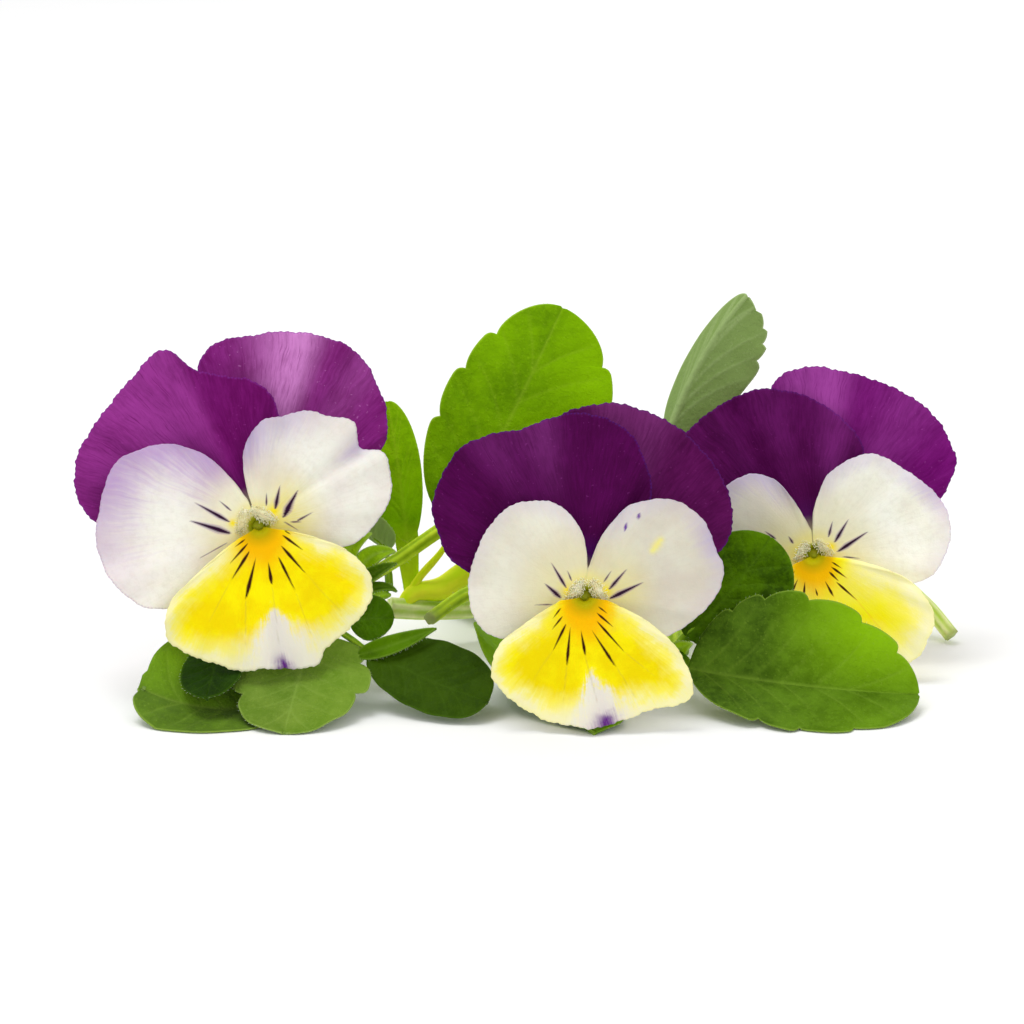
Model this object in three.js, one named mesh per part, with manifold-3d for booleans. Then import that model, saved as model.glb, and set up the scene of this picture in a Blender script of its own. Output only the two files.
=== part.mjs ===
// A cut, leafy pansy shoot lying on its side, with three open blooms that face the viewer.
// Millimetres, +Z up, the surface it lies on at z = 0. The viewer looks along +Y, so -Y is the front.
import * as THREE from "three";
import { mergeVertices } from "three/addons/utils/BufferGeometryUtils.js";
import Module from "manifold-3d";

const wasm = await Module();
wasm.setup();

// ---------- driving dimensions ----------
const REST_CENTRE = [2.16, 29.61]; // x and y of the middle of the shoot's footprint, moved to the origin
const PETAL_THICKNESS = 0.8;
const LEAF_THICKNESS = 0.8;
const SEPAL_THICKNESS = 0.7;
const GAP = 0.3; // air kept between two pieces that meet
const CLAW_RADIUS = 1.9; // petals start this far from the middle of the throat
const PETAL_RINGS = 4; // steps from claw to margin
const FACE_LEAN = 15; // degrees that the blooms' faces lean back from upright
// How each petal lies in the face: its depth at the throat, its slope outward, how far it bends back
// at ARCH_REACH from the throat, and where round the throat its claw is. The lower petal has a spur.
const LAYERS = {
  upper_back: { depth: -3.4, slope: -0.12, arch: 1.4, claw: 65 },
  upper_front: { depth: -2.2, slope: -0.07, arch: 1.0, claw: 140 },
  side_left: { depth: -1.0, slope: -0.02, arch: 0.7, claw: 200 },
  side_right: { depth: -1.0, slope: -0.02, arch: 0.7, claw: -8 },
  lower: { depth: 0.4, slope: 0.12, arch: 1.5 },
};
const ARCH_REACH = 20;
const CLAW = { radius: 0.5, out: 2.5, foot: [2.05, -6.4] }; // foot: [distance from the axis, depth]
const STEM_SIDES = 7;
const STALK_SIDES = 6;
const PETIOLE_SIDES = 5;
const CLAW_SIDES = 4;
const STALK_RADIUS = 0.85; // flower stalks
const SPUR = { radius: 1.0, tip: [0.3, -3.6, -9.5] }; // nectar spur, back from the lower petal
const SEPALS = { count: 5, length: 9, reach: 1.4, depth: -7.3 };

// ---------- colours ----------
const material = (color, roughness) =>
  new THREE.MeshStandardMaterial({ color, roughness, metalness: 0, side: THREE.DoubleSide });
const PURPLE = material(0x5c1a6e, 0.6);
const MAUVE = material(0x8a3a94, 0.6);
const CREAM = material(0xf2eee0, 0.6);
const YELLOW = material(0xf7e018, 0.55);
const HEART_GREEN = material(0xa8b820, 0.5);
const LEAF_GREEN = material(0x4f8c1c, 0.5);
const STEM_GREEN = material(0x8fbf3a, 0.5);
const STALK_GREEN = material(0x7fae35, 0.5);

// ---------- solids ----------
const toSolid = (geometry) => {
  const bare = geometry.index ? geometry.clone() : mergeVertices(geometry.clone());
  bare.deleteAttribute("normal");
  bare.deleteAttribute("uv");
  const merged = mergeVertices(bare, 1e-4);
  const mesh = new wasm.Mesh({
    numProp: 3,
    vertProperties: new Float32Array(merged.attributes.position.array),
    triVerts: new Uint32Array(merged.index.array),
  });
  return new wasm.Manifold(mesh);
};

const toGeometry = (solid) => {
  const mesh = solid.getMesh();
  return new THREE.BufferGeometry()
    .setAttribute("position", new THREE.BufferAttribute(new Float32Array(mesh.vertProperties), 3))
    .setIndex(new THREE.BufferAttribute(new Uint32Array(mesh.triVerts), 1));
};

const join = (solids) => solids.reduce((whole, next) => whole.add(next));

const V = (p) => new THREE.Vector3(...p);

// A closed skin of two like faces, half its thickness each side of the grid point(i, j). Rows whose
// points all meet, as at a leaf's tip, become one vertex.
const sheetSolid = (rows, lanes, thickness, point) => {
  const places = [];
  const grid = [];
  for (let i = 0; i <= rows; i++) {
    const row = Array.from({ length: lanes + 1 }, (_, j) => point(i, j));
    const meet = row[0].distanceTo(row[lanes]) < 1e-6;
    grid.push(row.map((p, j) => {
      if (!meet || j === 0) places.push(...p.toArray());
      return places.length / 3 - 1;
    }));
  }
  const face = [];
  const quad = (into, a, b, c, d) => {
    for (const [p, q, r] of [[a, b, c], [a, c, d]]) if (p !== q && q !== r && p !== r) into.push(p, q, r);
  };
  for (let i = 0; i < rows; i++)
    for (let j = 0; j < lanes; j++)
      quad(face, grid[i][j], grid[i + 1][j], grid[i + 1][j + 1], grid[i][j + 1]);
  const middle = new THREE.BufferGeometry()
    .setAttribute("position", new THREE.Float32BufferAttribute(places, 3))
    .setIndex(face);
  middle.computeVertexNormals();
  const lift = middle.attributes.normal.array.map((n) => (n * thickness) / 2);
  const count = places.length / 3;
  const [above, below] = [1, -1].map((side) => places.map((value, k) => value + side * lift[k]));
  const faces = [...face];
  for (let k = 0; k < face.length; k += 3)
    faces.push(face[k] + count, face[k + 2] + count, face[k + 1] + count);
  const rim = (a, b) => quad(faces, a, a + count, b + count, b);
  for (let i = 0; i < rows; i++) {
    rim(grid[i][0], grid[i + 1][0]);
    rim(grid[i + 1][lanes], grid[i][lanes]);
  }
  for (let j = 0; j < lanes; j++) {
    rim(grid[0][j + 1], grid[0][j]);
    rim(grid[rows][j], grid[rows][j + 1]);
  }
  return facingOut(new THREE.BufferGeometry()
    .setAttribute("position", new THREE.Float32BufferAttribute([...above, ...below], 3))
    .setIndex(faces));
};

const flipped = (geometry) => {
  const index = Array.from(geometry.index.array);
  for (let i = 0; i < index.length; i += 3) [index[i + 1], index[i + 2]] = [index[i + 2], index[i + 1]];
  return geometry.clone().setIndex(index);
};

const facingOut = (geometry) => {
  const solid = toSolid(geometry);
  return solid.volume() < 0 ? toSolid(flipped(geometry)) : solid;
};

// A round rod along a smooth curve, its radius going from first to last, with extra added all round.
const rodSolid = (points, radii, sides, steps, extra = 0) => {
  const curve = new THREE.CatmullRomCurve3(points.map(V), false, "centripetal");
  const frames = curve.computeFrenetFrames(steps, false);
  const ringCentre = (i) => {
    const beyond = { 0: -extra, [steps]: extra }[i] ?? 0;
    return curve.getPointAt(i / steps).addScaledVector(frames.tangents[i], beyond);
  };
  const places = [];
  for (let i = 0; i <= steps; i++) {
    const share = i / steps;
    const radius = THREE.MathUtils.lerp(radii[0], radii[1], share) + extra;
    const centre = ringCentre(i);
    for (let k = 0; k < sides; k++) {
      const turn = (2 * Math.PI * k) / sides;
      const p = centre
        .clone()
        .addScaledVector(frames.normals[i], radius * Math.cos(turn))
        .addScaledVector(frames.binormals[i], radius * Math.sin(turn));
      places.push(...p.toArray());
    }
  }
  const first = places.length / 3;
  places.push(...ringCentre(0).toArray(), ...ringCentre(steps).toArray());
  const faces = [];
  for (let i = 0; i < steps; i++)
    for (let k = 0; k < sides; k++) {
      const [a, b] = [i * sides + k, i * sides + ((k + 1) % sides)];
      faces.push(a, b, a + sides, b, b + sides, a + sides);
    }
  for (let k = 0; k < sides; k++) {
    const next = (k + 1) % sides;
    faces.push(first, next, k);
    faces.push(first + 1, steps * sides + k, steps * sides + next);
  }
  const geometry = new THREE.BufferGeometry()
    .setAttribute("position", new THREE.Float32BufferAttribute(places, 3))
    .setIndex(faces);
  return facingOut(geometry);
};

// ---------- leaves ----------
// A blade runs from base through mid to tip with its upper face towards facing. Its two halves, right
// and left of the midrib as seen from above with the tip ahead, each reach so far out at their widest,
// carry rounded teeth between notches placed by turn, from 0 at the base to 1 at the tip, and rise
// from the midrib by the slope in fold, with a further rise at the margin by curl.
const NOTCH_DEPTH = 1.1;
const NOTCH_SPREAD = 1.0; // millimetres along the margin over which a notch dies away
const VEIN_LEAD = 0.1; // a side vein meets the margin this share of the length ahead of its root
const TOOTH_STEPS = [0.4, 0.82, 1]; // where the margin is sampled between one notch and the next
const PLAIN_STEPS = [0.1, 0.25, 0.42, 0.58, 0.75, 0.9];
const POINTED_STEPS = [0.3, 0.68];
const PETIOLE_END = 0.3; // share of the blade that the petiole runs under
const PETIOLE_END_RADIUS = 0.35;

const midribOf = ({ base, mid, tip }) => {
  const through = V(mid).multiplyScalar(2).addScaledVector(V(base), -0.5).addScaledVector(V(tip), -0.5);
  return new THREE.QuadraticBezierCurve3(V(base), through, V(tip));
};

const bladeFrame = (leaf) => {
  const midrib = midribOf(leaf);
  return (share) => {
    const along = midrib.getTangent(share).normalize();
    const across = along.clone().cross(V(leaf.facing)).normalize();
    return { centre: midrib.getPoint(share), across, up: across.clone().cross(along).normalize() };
  };
};

// One half's margin laid flat: millimetres ahead of the base, and out from the midrib.
const marginAt = (half, length, turn) => {
  const angle = Math.PI * turn;
  const { reach, notches = [], egg = 0.1 } = half;
  const ahead = 0.5 * length * (1 - Math.cos(angle));
  const out = reach * Math.sin(angle) * (1 + egg * Math.cos(angle));
  const tangent = new THREE.Vector2(
    0.5 * length * Math.sin(angle), reach * (Math.cos(angle) + egg * Math.cos(2 * angle)));
  const pace = Math.max(tangent.length(), 1e-3);
  const bite = notches.reduce(
    (deepest, at) => Math.max(deepest, Math.exp((-Math.abs(turn - at) * Math.PI * pace) / NOTCH_SPREAD)), 0);
  const inward = (NOTCH_DEPTH * bite) / pace;
  return { ahead: ahead + tangent.y * inward, out: out - tangent.x * inward };
};

const bladePoint = (leaf, frame, length, turns, lane) => {
  const [right, left] = [leaf.right, leaf.left].map((half, i) => marginAt(half, length, turns[i]));
  const lead = VEIN_LEAD * Math.sin(Math.PI * turns[0]);
  const root = THREE.MathUtils.clamp((right.ahead + left.ahead) / (2 * length) - lead, 0, 1);
  const [edge, half] = lane > 0 ? [right, leaf.right] : [left, leaf.left];
  const share = Math.abs(lane);
  const ahead = THREE.MathUtils.clamp(root + (edge.ahead / length - root) * share, 0, 1);
  const out = edge.out * share;
  const { fold = 0.12, curl = 0 } = half;
  const { centre, across, up } = frame(ahead);
  const rise = out * fold + (curl * out ** 2) / half.reach;
  return centre.addScaledVector(across, Math.sign(lane) * out).addScaledVector(up, rise);
};

const marginTurns = ({ notches = [], steps = PLAIN_STEPS }) => {
  if (!notches.length) return [0, ...steps, 1];
  const stops = [0, ...notches, 1];
  return stops.flatMap((stop, i) =>
    i ? TOOTH_STEPS.map((step) => stops[i - 1] + (stop - stops[i - 1]) * step) : [0]);
};

const bladeSolid = (leaf, thickness = LEAF_THICKNESS) => {
  const frame = bladeFrame(leaf);
  const length = midribOf(leaf).getLength();
  const [right, left] = [leaf.right, leaf.left].map(marginTurns);
  const lanes = leaf.lanes ?? 4;
  return sheetSolid(
    right.length - 1,
    lanes,
    thickness,
    (i, j) => bladePoint(leaf, frame, length, [right[i], left[i]], (2 * j) / lanes - 1),
  );
};

// A narrow pointed blade, as of a sepal or a stipule's lobe.
const pointedBlade = ({ reach, ...blade }, extra = 0) => {
  const half = { reach: reach + extra, egg: 0.3, steps: POINTED_STEPS };
  return bladeSolid({ ...blade, right: half, left: half, lanes: 2 }, SEPAL_THICKNESS + 2 * extra);
};

// The petiole runs on under the blade as its midrib.
const petioleSolid = (leaf, extra = 0) => {
  const { petiole, petioleRadius = 0.7 } = leaf;
  const midrib = midribOf(leaf);
  const frame = bladeFrame(leaf);
  const under = (share) =>
    midrib.getPoint(share).addScaledVector(frame(share).up, -LEAF_THICKNESS / 4).toArray();
  return rodSolid(
    [...petiole, under(PETIOLE_END / 10), under(PETIOLE_END)],
    [petioleRadius, PETIOLE_END_RADIUS],
    PETIOLE_SIDES,
    3 * petiole.length + 2,
    extra,
  );
};

const leafSolid = (leaf) => bladeSolid(leaf).add(petioleSolid(leaf));

const LEAVES = {
  leaf_back_tall: {
    base: [-7.3, 33.8, 16.3], mid: [0.0, 38.0, 30.0], tip: [6.5, 42.5, 43.0], facing: [0.1, -0.95, 0.3],
    right: { reach: 12.5, notches: [0.42, 0.59, 0.757], fold: -0.1, egg: 0 },
    left: { reach: 9.2, notches: [0.41, 0.56, 0.695], fold: -0.1, egg: 0.1 },
    petiole: [[-13.6, 33.2, 6.6], [-11.8, 34.4, 9.4], [-8.8, 34.0, 13.2]], petioleRadius: 0.5,
  },
  leaf_back_narrow: {
    base: [20.2, 42.3, 26.4], mid: [24.6, 44.8, 35.8], tip: [30.4, 46.8, 43.7], facing: [0.3, 0.95, -0.1],
    right: { reach: 2.6, notches: [0.4, 0.6, 0.8], fold: 1.3 },
    left: { reach: 5.8, notches: [0.42, 0.6, 0.76], fold: 0.3 },
    petiole: [[-14.3, 32.4, 7.6], [-9.2, 35.0, 7.3], [-5.4, 36.7, 9.5], [2, 39.4, 12.5], [12, 41.6, 18]],
    petioleRadius: 0.8,
  },
  leaf_left_tall: {
    base: [-12.7, 32.0, 15.1], mid: [-14.4, 34.4, 24.0], tip: [-15.6, 37.4, 31.9], facing: [0.15, -0.95, 0.2],
    right: { reach: 3.1, notches: [0.5, 0.7, 0.84], fold: -0.2 },
    left: { reach: 5.0, notches: [0.5, 0.7, 0.84], fold: -0.2 },
    petiole: [[-13.6, 32.4, 7.4], [-12.6, 32.2, 12.3]], petioleRadius: 1.1,
  },
  leaf_left_young: {
    base: [-15.6, 29.8, 14.4], mid: [-18.6, 28.6, 17.4], tip: [-22.0, 28.4, 18.6], facing: [0.2, 0.8, 0.5],
    right: { reach: 3, fold: 0.2 }, left: { reach: 3, fold: 0.2 },
    petiole: [[-15.6, 31.2, 8.8]], petioleRadius: 0.5,
  },
  leaf_low_dark: {
    base: [-20.0, 16.6, 8.6], mid: [-17.4, 16.8, 9.2], tip: [-14.6, 17.2, 9.0], facing: [0.1, -0.85, 0.5],
    right: { reach: 2.9, fold: 0.2 }, left: { reach: 2.9, fold: 0.2 },
    petiole: [[-21.0, 17.0, 9.6]], petioleRadius: 0.5,
  },
  leaf_low_centre: {
    base: [-17.1, 12.0, 6.4], mid: [-10.6, 8.2, 3.9], tip: [-3.2, 3.5, 1.7], facing: [0.25, -0.72, 0.65],
    right: { reach: 3.8 }, left: { reach: 6.4 },
    petiole: [[-21.0, 14.8, 6.8]], petioleRadius: 0.5,
  },
  leaf_under_centre: {
    base: [4.4, 21.0, 3.4], mid: [6.0, 10.5, 1.5], tip: [9.9, 0.9, 0.3], facing: [0.0, -0.1, 1.0],
    right: { reach: 10.5, notches: [0.35, 0.55, 0.8], fold: 0.1, curl: 0.6, egg: 0.3 },
    left: { reach: 9, notches: [0.35, 0.55, 0.75], fold: 0.05 },
    petiole: [[5.6, 39.2, 4.6], [5.2, 30.0, 4.6]],
  },
  leaf_low_left_front: {
    base: [-25.0, 12.8, 5.6], mid: [-26.4, 6.2, 3.6], tip: [-27.2, -0.9, 0.2], facing: [0, -0.5, 0.86],
    right: { reach: 7.8, notches: [0.35, 0.6, 0.78], fold: -0.05, egg: 0.1 },
    left: { reach: 9.0, notches: [0.35, 0.56, 0.8], fold: 0.25, egg: 0.25 },
    petiole: [[-22.0, 15.2, 6.6]], petioleRadius: 0.5,
  },
  leaf_low_left: {
    base: [-27.5, 9.6, 1.2], mid: [-36.5, 6.8, 0.8], tip: [-45.6, 6.4, 3.8], facing: [0, -0.42, 0.9],
    right: { reach: 11.0, notches: [0.4, 0.6, 0.76], fold: 0.1, egg: -0.35 },
    left: { reach: 7.8, notches: [0.4, 0.62, 0.84], fold: 0.05 },
    petiole: [[-22.2, 15.2, 6.2], [-23.6, 13.4, 2.8]], petioleRadius: 0.5,
  },
  leaf_low_left_small: {
    base: [-35.4, 14.5, 7.6], mid: [-36.4, 9.9, 5.0], tip: [-36.9, 4.1, 3.7], facing: [-0.1, -0.6, 0.8],
    right: { reach: 3.8, fold: 0.05, egg: -0.2 }, left: { reach: 3.2, fold: 0.15, egg: -0.2 },
    petiole: [[-22.0, 17.6, 8.4], [-28.0, 17.4, 8.2]], petioleRadius: 0.5,
  },
  leaf_front_right: {
    base: [21.6, 10.6, 4.6], mid: [35.2, 9.6, 2.8], tip: [49.5, 8.4, 2.0], facing: [0, -0.64, 0.77],
    right: { reach: 9.4, notches: [0.38, 0.5, 0.66], fold: 0.45, egg: -0.1 },
    left: { reach: 11.1, notches: [0.45, 0.66, 0.83], fold: 0.35, egg: 0.12 },
    petiole: [[20.6, 15.5, 4.8]],
  },
  leaf_mid_right: {
    base: [21.6, 18.8, 6.4], mid: [27.2, 20.8, 11.6], tip: [32.2, 23.2, 17.8], facing: [-0.25, -0.9, 0.35],
    right: { reach: 7.2, notches: [0.45, 0.62, 0.8], fold: 0.1 },
    left: { reach: 6.4, notches: [0.45, 0.62, 0.8], fold: 0.1 },
    petiole: [[20.6, 19.8, 4.6]],
  },
  leaf_rear_left: {
    base: [-25.0, 24.6, 7.6], mid: [-34.0, 30.6, 5.6], tip: [-43.4, 35.4, -0.3], facing: [-0.1, 0, 1],
    right: { reach: 7, notches: [0.4, 0.6, 0.8], fold: -0.15 },
    left: { reach: 7, notches: [0.4, 0.6, 0.8], fold: 0.1 },
    petiole: [[-22.2, 16.8, 8.4], [-23.6, 21.0, 8.4]], petioleRadius: 0.5,
  },
  leaf_rear_centre: {
    base: [1.5, 44.0, 4.4], mid: [-2.0, 50.0, 4.0], tip: [-5.5, 57.0, -0.3], facing: [0, -0.1, 1],
    right: { reach: 7.2, notches: [0.4, 0.6, 0.8] }, left: { reach: 7.2, notches: [0.4, 0.6, 0.8] },
    petiole: [[5.0, 40.5, 4.6]],
  },
  leaf_rear_right: {
    base: [33.0, 49.6, 5.4], mid: [37.5, 54.0, 3.8], tip: [43.5, 58.5, -0.3], facing: [0, -0.1, 1],
    right: { reach: 6.5, notches: [0.4, 0.6, 0.8] }, left: { reach: 6.5, notches: [0.4, 0.6, 0.8] },
    petiole: [[30.6, 47.2, 5.4]],
  },
};

// ---------- stems ----------
const MAIN_STEM = [
  [56.8, 36.4, 0.5], [53.2, 39.6, 4.7], [47.6, 44.0, 8.0], [40.0, 47.4, 7.6], [30.0, 47.2, 5.6],
  [16.7, 43.2, 4.6], [6.2, 40.5, 4.3], [-5.4, 36.4, 4.6], [-11.0, 34.0, 5.2], [-15.6, 32.2, 6.0],
];
const MAIN_STEM_RADII = [0.9, 1.2];
const BRANCHES = [
  // the arched side stem that ends low behind the left bloom
  { radii: [1.1, 0.95], steps: 15, points: [
    [12.7, 41.8, 5.2], [10.0, 36.6, 14.0], [2.0, 30.6, 21.0], [-5.3, 26.6, 20.2], [-9.4, 24.2, 18.1],
    [-13.9, 21.8, 15.5], [-18.2, 19.6, 13.2], [-20.8, 17.8, 10.6], [-22.0, 16.6, 8.2], [-22.6, 16.0, 6.2]] },
  // the low branch under the middle bloom that bears the leaves on the right
  { radii: [1.1, 0.9], steps: 7, points: [
    [22.0, 45.2, 5.0], [21.4, 36.0, 6.0], [20.6, 26.0, 4.6], [20.4, 18.0, 4.2], [20.6, 15.0, 4.4]] },
  // a trimmed side stalk with its cut end in view
  { radii: [0.95, 0.85], steps: 5, points: [
    [4.6, 39.8, 4.8], [0.0, 36.5, 7.6], [-5.6, 30.5, 7.8], [-10.4, 24.5, 6.7]] },
];
// Narrow pointed lobes of the stipules, at the stem's nodes.
const STIPULES = [
  { base: [-19.2, 19.8, 13.0], mid: [-18.2, 18.6, 15.6], tip: [-16, 18.8, 18],
    facing: [0.2, -0.9, 0.3], reach: 1.4 },
  { base: [-19.4, 19.8, 12.6], mid: [-16.6, 19.4, 15], tip: [-13, 20.4, 15.8],
    facing: [0.1, -0.8, 0.6], reach: 1.3 },
  { base: [-20.0, 19.0, 12.0], mid: [-16.6, 18, 13.2], tip: [-13.2, 18, 14.2],
    facing: [0, -0.7, 0.7], reach: 1.1 },
  { base: [-20.2, 17.6, 10.4], mid: [-16.4, 18.2, 10.8], tip: [-13, 18.2, 11.2],
    facing: [0, -0.6, 0.8], reach: 1 },
  { base: [-21.6, 15.2, 7.6], mid: [-13.6, 13.4, 8.3], tip: [-9.2, 13.8, 9.1],
    facing: [0.1, -0.6, 0.8], reach: 0.9 },
  { base: [20.4, 16.4, 4.4], mid: [20.4, 13.6, 6.2], tip: [22, 12, 7.4],
    facing: [0.3, -0.9, 0.3], reach: 1.4 },
  { base: [-15.6, 31.4, 8.2], mid: [-18.2, 29.6, 8], tip: [-21.4, 28.6, 7],
    facing: [0, -0.5, 0.9], reach: 1.2 },
  { base: [16.8, 43.4, 5.2], mid: [19.4, 46.6, 7.2], tip: [22.6, 48.8, 7.8],
    facing: [0, 0.5, 0.9], reach: 1.4 },
  { base: [8.4, 41.8, 4.8], mid: [11.4, 45.6, 6], tip: [12.6, 49.4, 5.6],
    facing: [0.1, 0.4, 0.9], reach: 1.4 },
];

// ---------- blooms ----------
// Each petal's margin is a list of [degrees round the throat, distance from it]. Folds are ridges
// and troughs that run out from the throat: [degrees, height at the margin, half width in degrees].
const BLOOMS = {
  left: {
    throat: [-30.4, 13.2, 20.9], yaw: 5,
    stalk: [[-27.6, 29.6, 15.0], [-23.0, 24.6, 12.0], [-20.6, 18.2, 11.0]],
    petals: {
      upper_back: {
        margin: [[118, 17], [112, 21], [109, 22.8], [103, 24.4], [94, 24.6], [82, 25.3], [70, 25.8],
          [60, 25.3], [49, 22.9], [43, 21.4], [37, 19.3], [34, 16.6], [30, 11]],
        folds: [[82, 1.3, 9], [100, -0.8, 9], [58, -0.7, 12]],
      },
      upper_front: {
        margin: [[179, 16.5], [176, 20], [169, 22.8], [157, 24.4], [143, 24.4], [129, 24.9], [118, 25.6],
          [112, 21.8], [103, 20.0], [94, 19.0], [86, 17.2], [79, 13.5]],
        folds: [[118, 1.9, 9], [104, -1.0, 8], [140, -0.6, 10], [160, 0.7, 9]],
      },
      side_left: {
        margin: [[114, 4.5], [117, 7.6], [122, 10.4], [130, 13.4], [140, 16.6], [150, 18.6], [162, 19.7],
          [180, 20.2], [195, 19.4], [208, 17.7], [216, 15.6], [224, 12], [229, 8]],
        folds: [[150, 0.6, 14], [190, -0.5, 12]],
      },
      side_right: {
        margin: [[108, 5.4], [105, 8.5], [100, 11.2], [90, 13.8], [80, 14.7], [70, 16.1], [60, 16.7],
          [51, 17.8], [44, 16.4], [40, 16.2], [34, 18], [25, 17.4], [15, 16.2], [4, 13.6], [-6, 11.2],
          [-14, 7.5]],
        folds: [[88, 0.8, 12], [42, -0.4, 8]],
      },
      lower: {
        margin: [[196, 5.5], [206, 10.2], [217, 14.3], [228, 17], [240, 16.9], [252, 16.6], [262, 16.7],
          [272, 16.2], [286, 16.9], [294, 17], [299, 15.9], [307, 15.6], [318, 15.6], [331, 15.3],
          [341, 13.6], [350, 10.3], [357, 6.5]],
        folds: [[272, 0.5, 9], [240, -0.4, 12], [305, -0.4, 12]],
      },
    },
  },
  middle: {
    throat: [8.4, 4.7, 15.8], yaw: 0,
    stalk: [[9.4, 24.0, 12.4], [11.4, 32.0, 9.0], [13.0, 40.6, 5.6]],
    petals: {
      upper_back: {
        margin: [[104, 18], [97, 21.6], [90, 22.6], [80, 23.5], [70, 23.5], [60, 23.4], [50, 22.9],
          [40, 22.3], [30, 21.2], [22, 19.6], [17, 17.6], [13, 13]],
        folds: [[75, 0.8, 10], [45, -0.8, 12]],
      },
      upper_front: {
        margin: [[172, 12], [166, 16], [160, 18], [150, 20.9], [140, 22.1], [130, 22.9], [120, 22.2],
          [110, 21.2], [100, 21.6], [90, 21.9], [80, 21.2], [72, 20], [64, 17.6], [56, 15.2], [50, 12]],
        folds: [[121, 1.2, 10], [100, -0.6, 9], [146, -0.6, 10], [74, 0.6, 10]],
      },
      side_left: {
        margin: [[92, 4], [96, 6.5], [102, 9.5], [110, 11.8], [120, 12.9], [130, 13.7], [142, 13.8],
          [155, 13.7], [170, 13.7], [182, 13.6], [193, 13.2], [203, 12.2], [211, 10.4], [218, 7.5]],
        folds: [[130, 0.5, 16], [185, -0.4, 14]],
      },
      side_right: {
        margin: [[84, 4], [78, 5.8], [70, 8.6], [60, 12.8], [50, 15], [40, 16.5], [30, 17.1], [20, 17],
          [10, 17.3], [0, 16.3], [-10, 14.3], [-20, 12.5], [-28, 10.8], [-35, 7.5]],
        folds: [[48, 0.5, 14], [5, -0.4, 14]],
      },
      lower: {
        margin: [[197, 5], [205, 9], [212, 12.4], [220, 14.2], [230, 15], [240, 15.2], [252, 15.6],
          [262, 15.6], [272, 15.9], [282, 15.8], [292, 15.7], [302, 16.1], [310, 17.2], [316, 17.9],
          [322, 16.6], [330, 13.2], [337, 9], [342, 5]],
        folds: [[277, 0.5, 9], [245, -0.4, 12], [308, -0.3, 12]],
      },
    },
  },
  right: {
    throat: [38.6, 26.4, 14.2], yaw: -7,
    stalk: [[38.6, 39.6, 13.0], [39.4, 44.0, 10.4], [40.6, 47.0, 8.2]],
    petals: {
      upper_back: {
        margin: [[112, 19], [105, 23.3], [95, 24.4], [85, 24], [72, 23.6], [60, 23.4], [50, 22.9],
          [43, 22], [36, 21.1], [30, 18.6], [26, 16.4], [21, 12]],
        folds: [[92, 0.9, 10], [60, -0.7, 12]],
      },
      upper_front: {
        margin: [[178, 12], [170, 16.5], [160, 20.5], [150, 22.6], [140, 23.4], [130, 23.4], [120, 23.2],
          [110, 22.8], [100, 21.4], [92, 20], [81, 17.8], [70, 15.3], [62, 12]],
        folds: [[112, 0.9, 10], [134, -0.6, 9], [88, -0.4, 9]],
      },
      side_left: {
        margin: [[107, 3.6], [111, 5.5], [115, 8.4], [120, 11.4], [129, 13.7], [140, 14.7], [152, 15.2],
          [165, 15.2], [180, 14.6], [192, 13.4], [203, 11.5], [212, 8]],
        folds: [[140, 0.5, 14], [180, -0.4, 14]],
      },
      side_right: {
        margin: [[103, 3.8], [98, 5.8], [92, 7.8], [85, 10.4], [77, 12.2], [68, 14], [60, 15], [48, 15.3],
          [35, 16.2], [21, 17], [9, 16.5], [0, 15.5], [-8, 14.3], [-16, 11.8], [-22, 8]],
        folds: [[70, 0.6, 14], [20, -0.4, 14]],
      },
      lower: {
        margin: [[196, 5.5], [206, 9.8], [216, 12], [228, 13], [242, 13.2], [256, 13.4], [270, 13.6],
          [284, 14.4], [298, 15.6], [308, 17], [315, 17.7], [323, 17], [331, 16.4], [339, 14.5],
          [347, 11.2], [353, 7]],
        folds: [[272, 0.5, 9], [240, -0.4, 12], [312, -0.4, 12]],
      },
    },
  },
};

const rad = THREE.MathUtils.degToRad;

// Places a point given as [right, up, out] on a bloom's face.
const faceOf = ({ throat, yaw }) => {
  const turn = new THREE.Matrix4()
    .makeRotationX(rad(90 - FACE_LEAN))
    .multiply(new THREE.Matrix4().makeRotationY(rad(yaw)));
  return (u, v, w) => new THREE.Vector3(u, v, w).applyMatrix4(turn).add(V(throat));
};

const petalDepth = (petal, { depth, slope, arch }, degrees, reach, distance) => {
  const share = (distance - CLAW_RADIUS) / (reach - CLAW_RADIUS);
  const folds = petal.folds.reduce(
    (sum, [at, height, spread]) => sum + height * Math.exp(-(((degrees - at) / spread) ** 2)), 0);
  return depth + slope * distance - arch * (distance / ARCH_REACH) ** 2 + folds * share ** 1.5;
};

const petalSolid = (bloom, name) => {
  const petal = bloom.petals[name];
  const place = faceOf(bloom);
  const point = (i, j) => {
    const [degrees, reach] = petal.margin[i];
    const distance = CLAW_RADIUS + ((reach - CLAW_RADIUS) * j) / PETAL_RINGS;
    const w = petalDepth(petal, LAYERS[name], degrees, reach, distance);
    return place(distance * Math.cos(rad(degrees)), distance * Math.sin(rad(degrees)), w);
  };
  return sheetSolid(petal.margin.length - 1, PETAL_RINGS, PETAL_THICKNESS, point);
};

// The narrow claw that holds a petal, from its blade back to the cup.
const clawSolid = (bloom, name) => {
  const { depth, slope, claw } = LAYERS[name];
  const place = faceOf(bloom);
  const at = (distance, w) =>
    place(distance * Math.cos(rad(claw)), distance * Math.sin(rad(claw)), w).toArray();
  return rodSolid([at(CLAW.out, depth + slope * CLAW.out), at(...CLAW.foot)], [CLAW.radius, CLAW.radius],
    CLAW_SIDES, 1);
};

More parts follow.
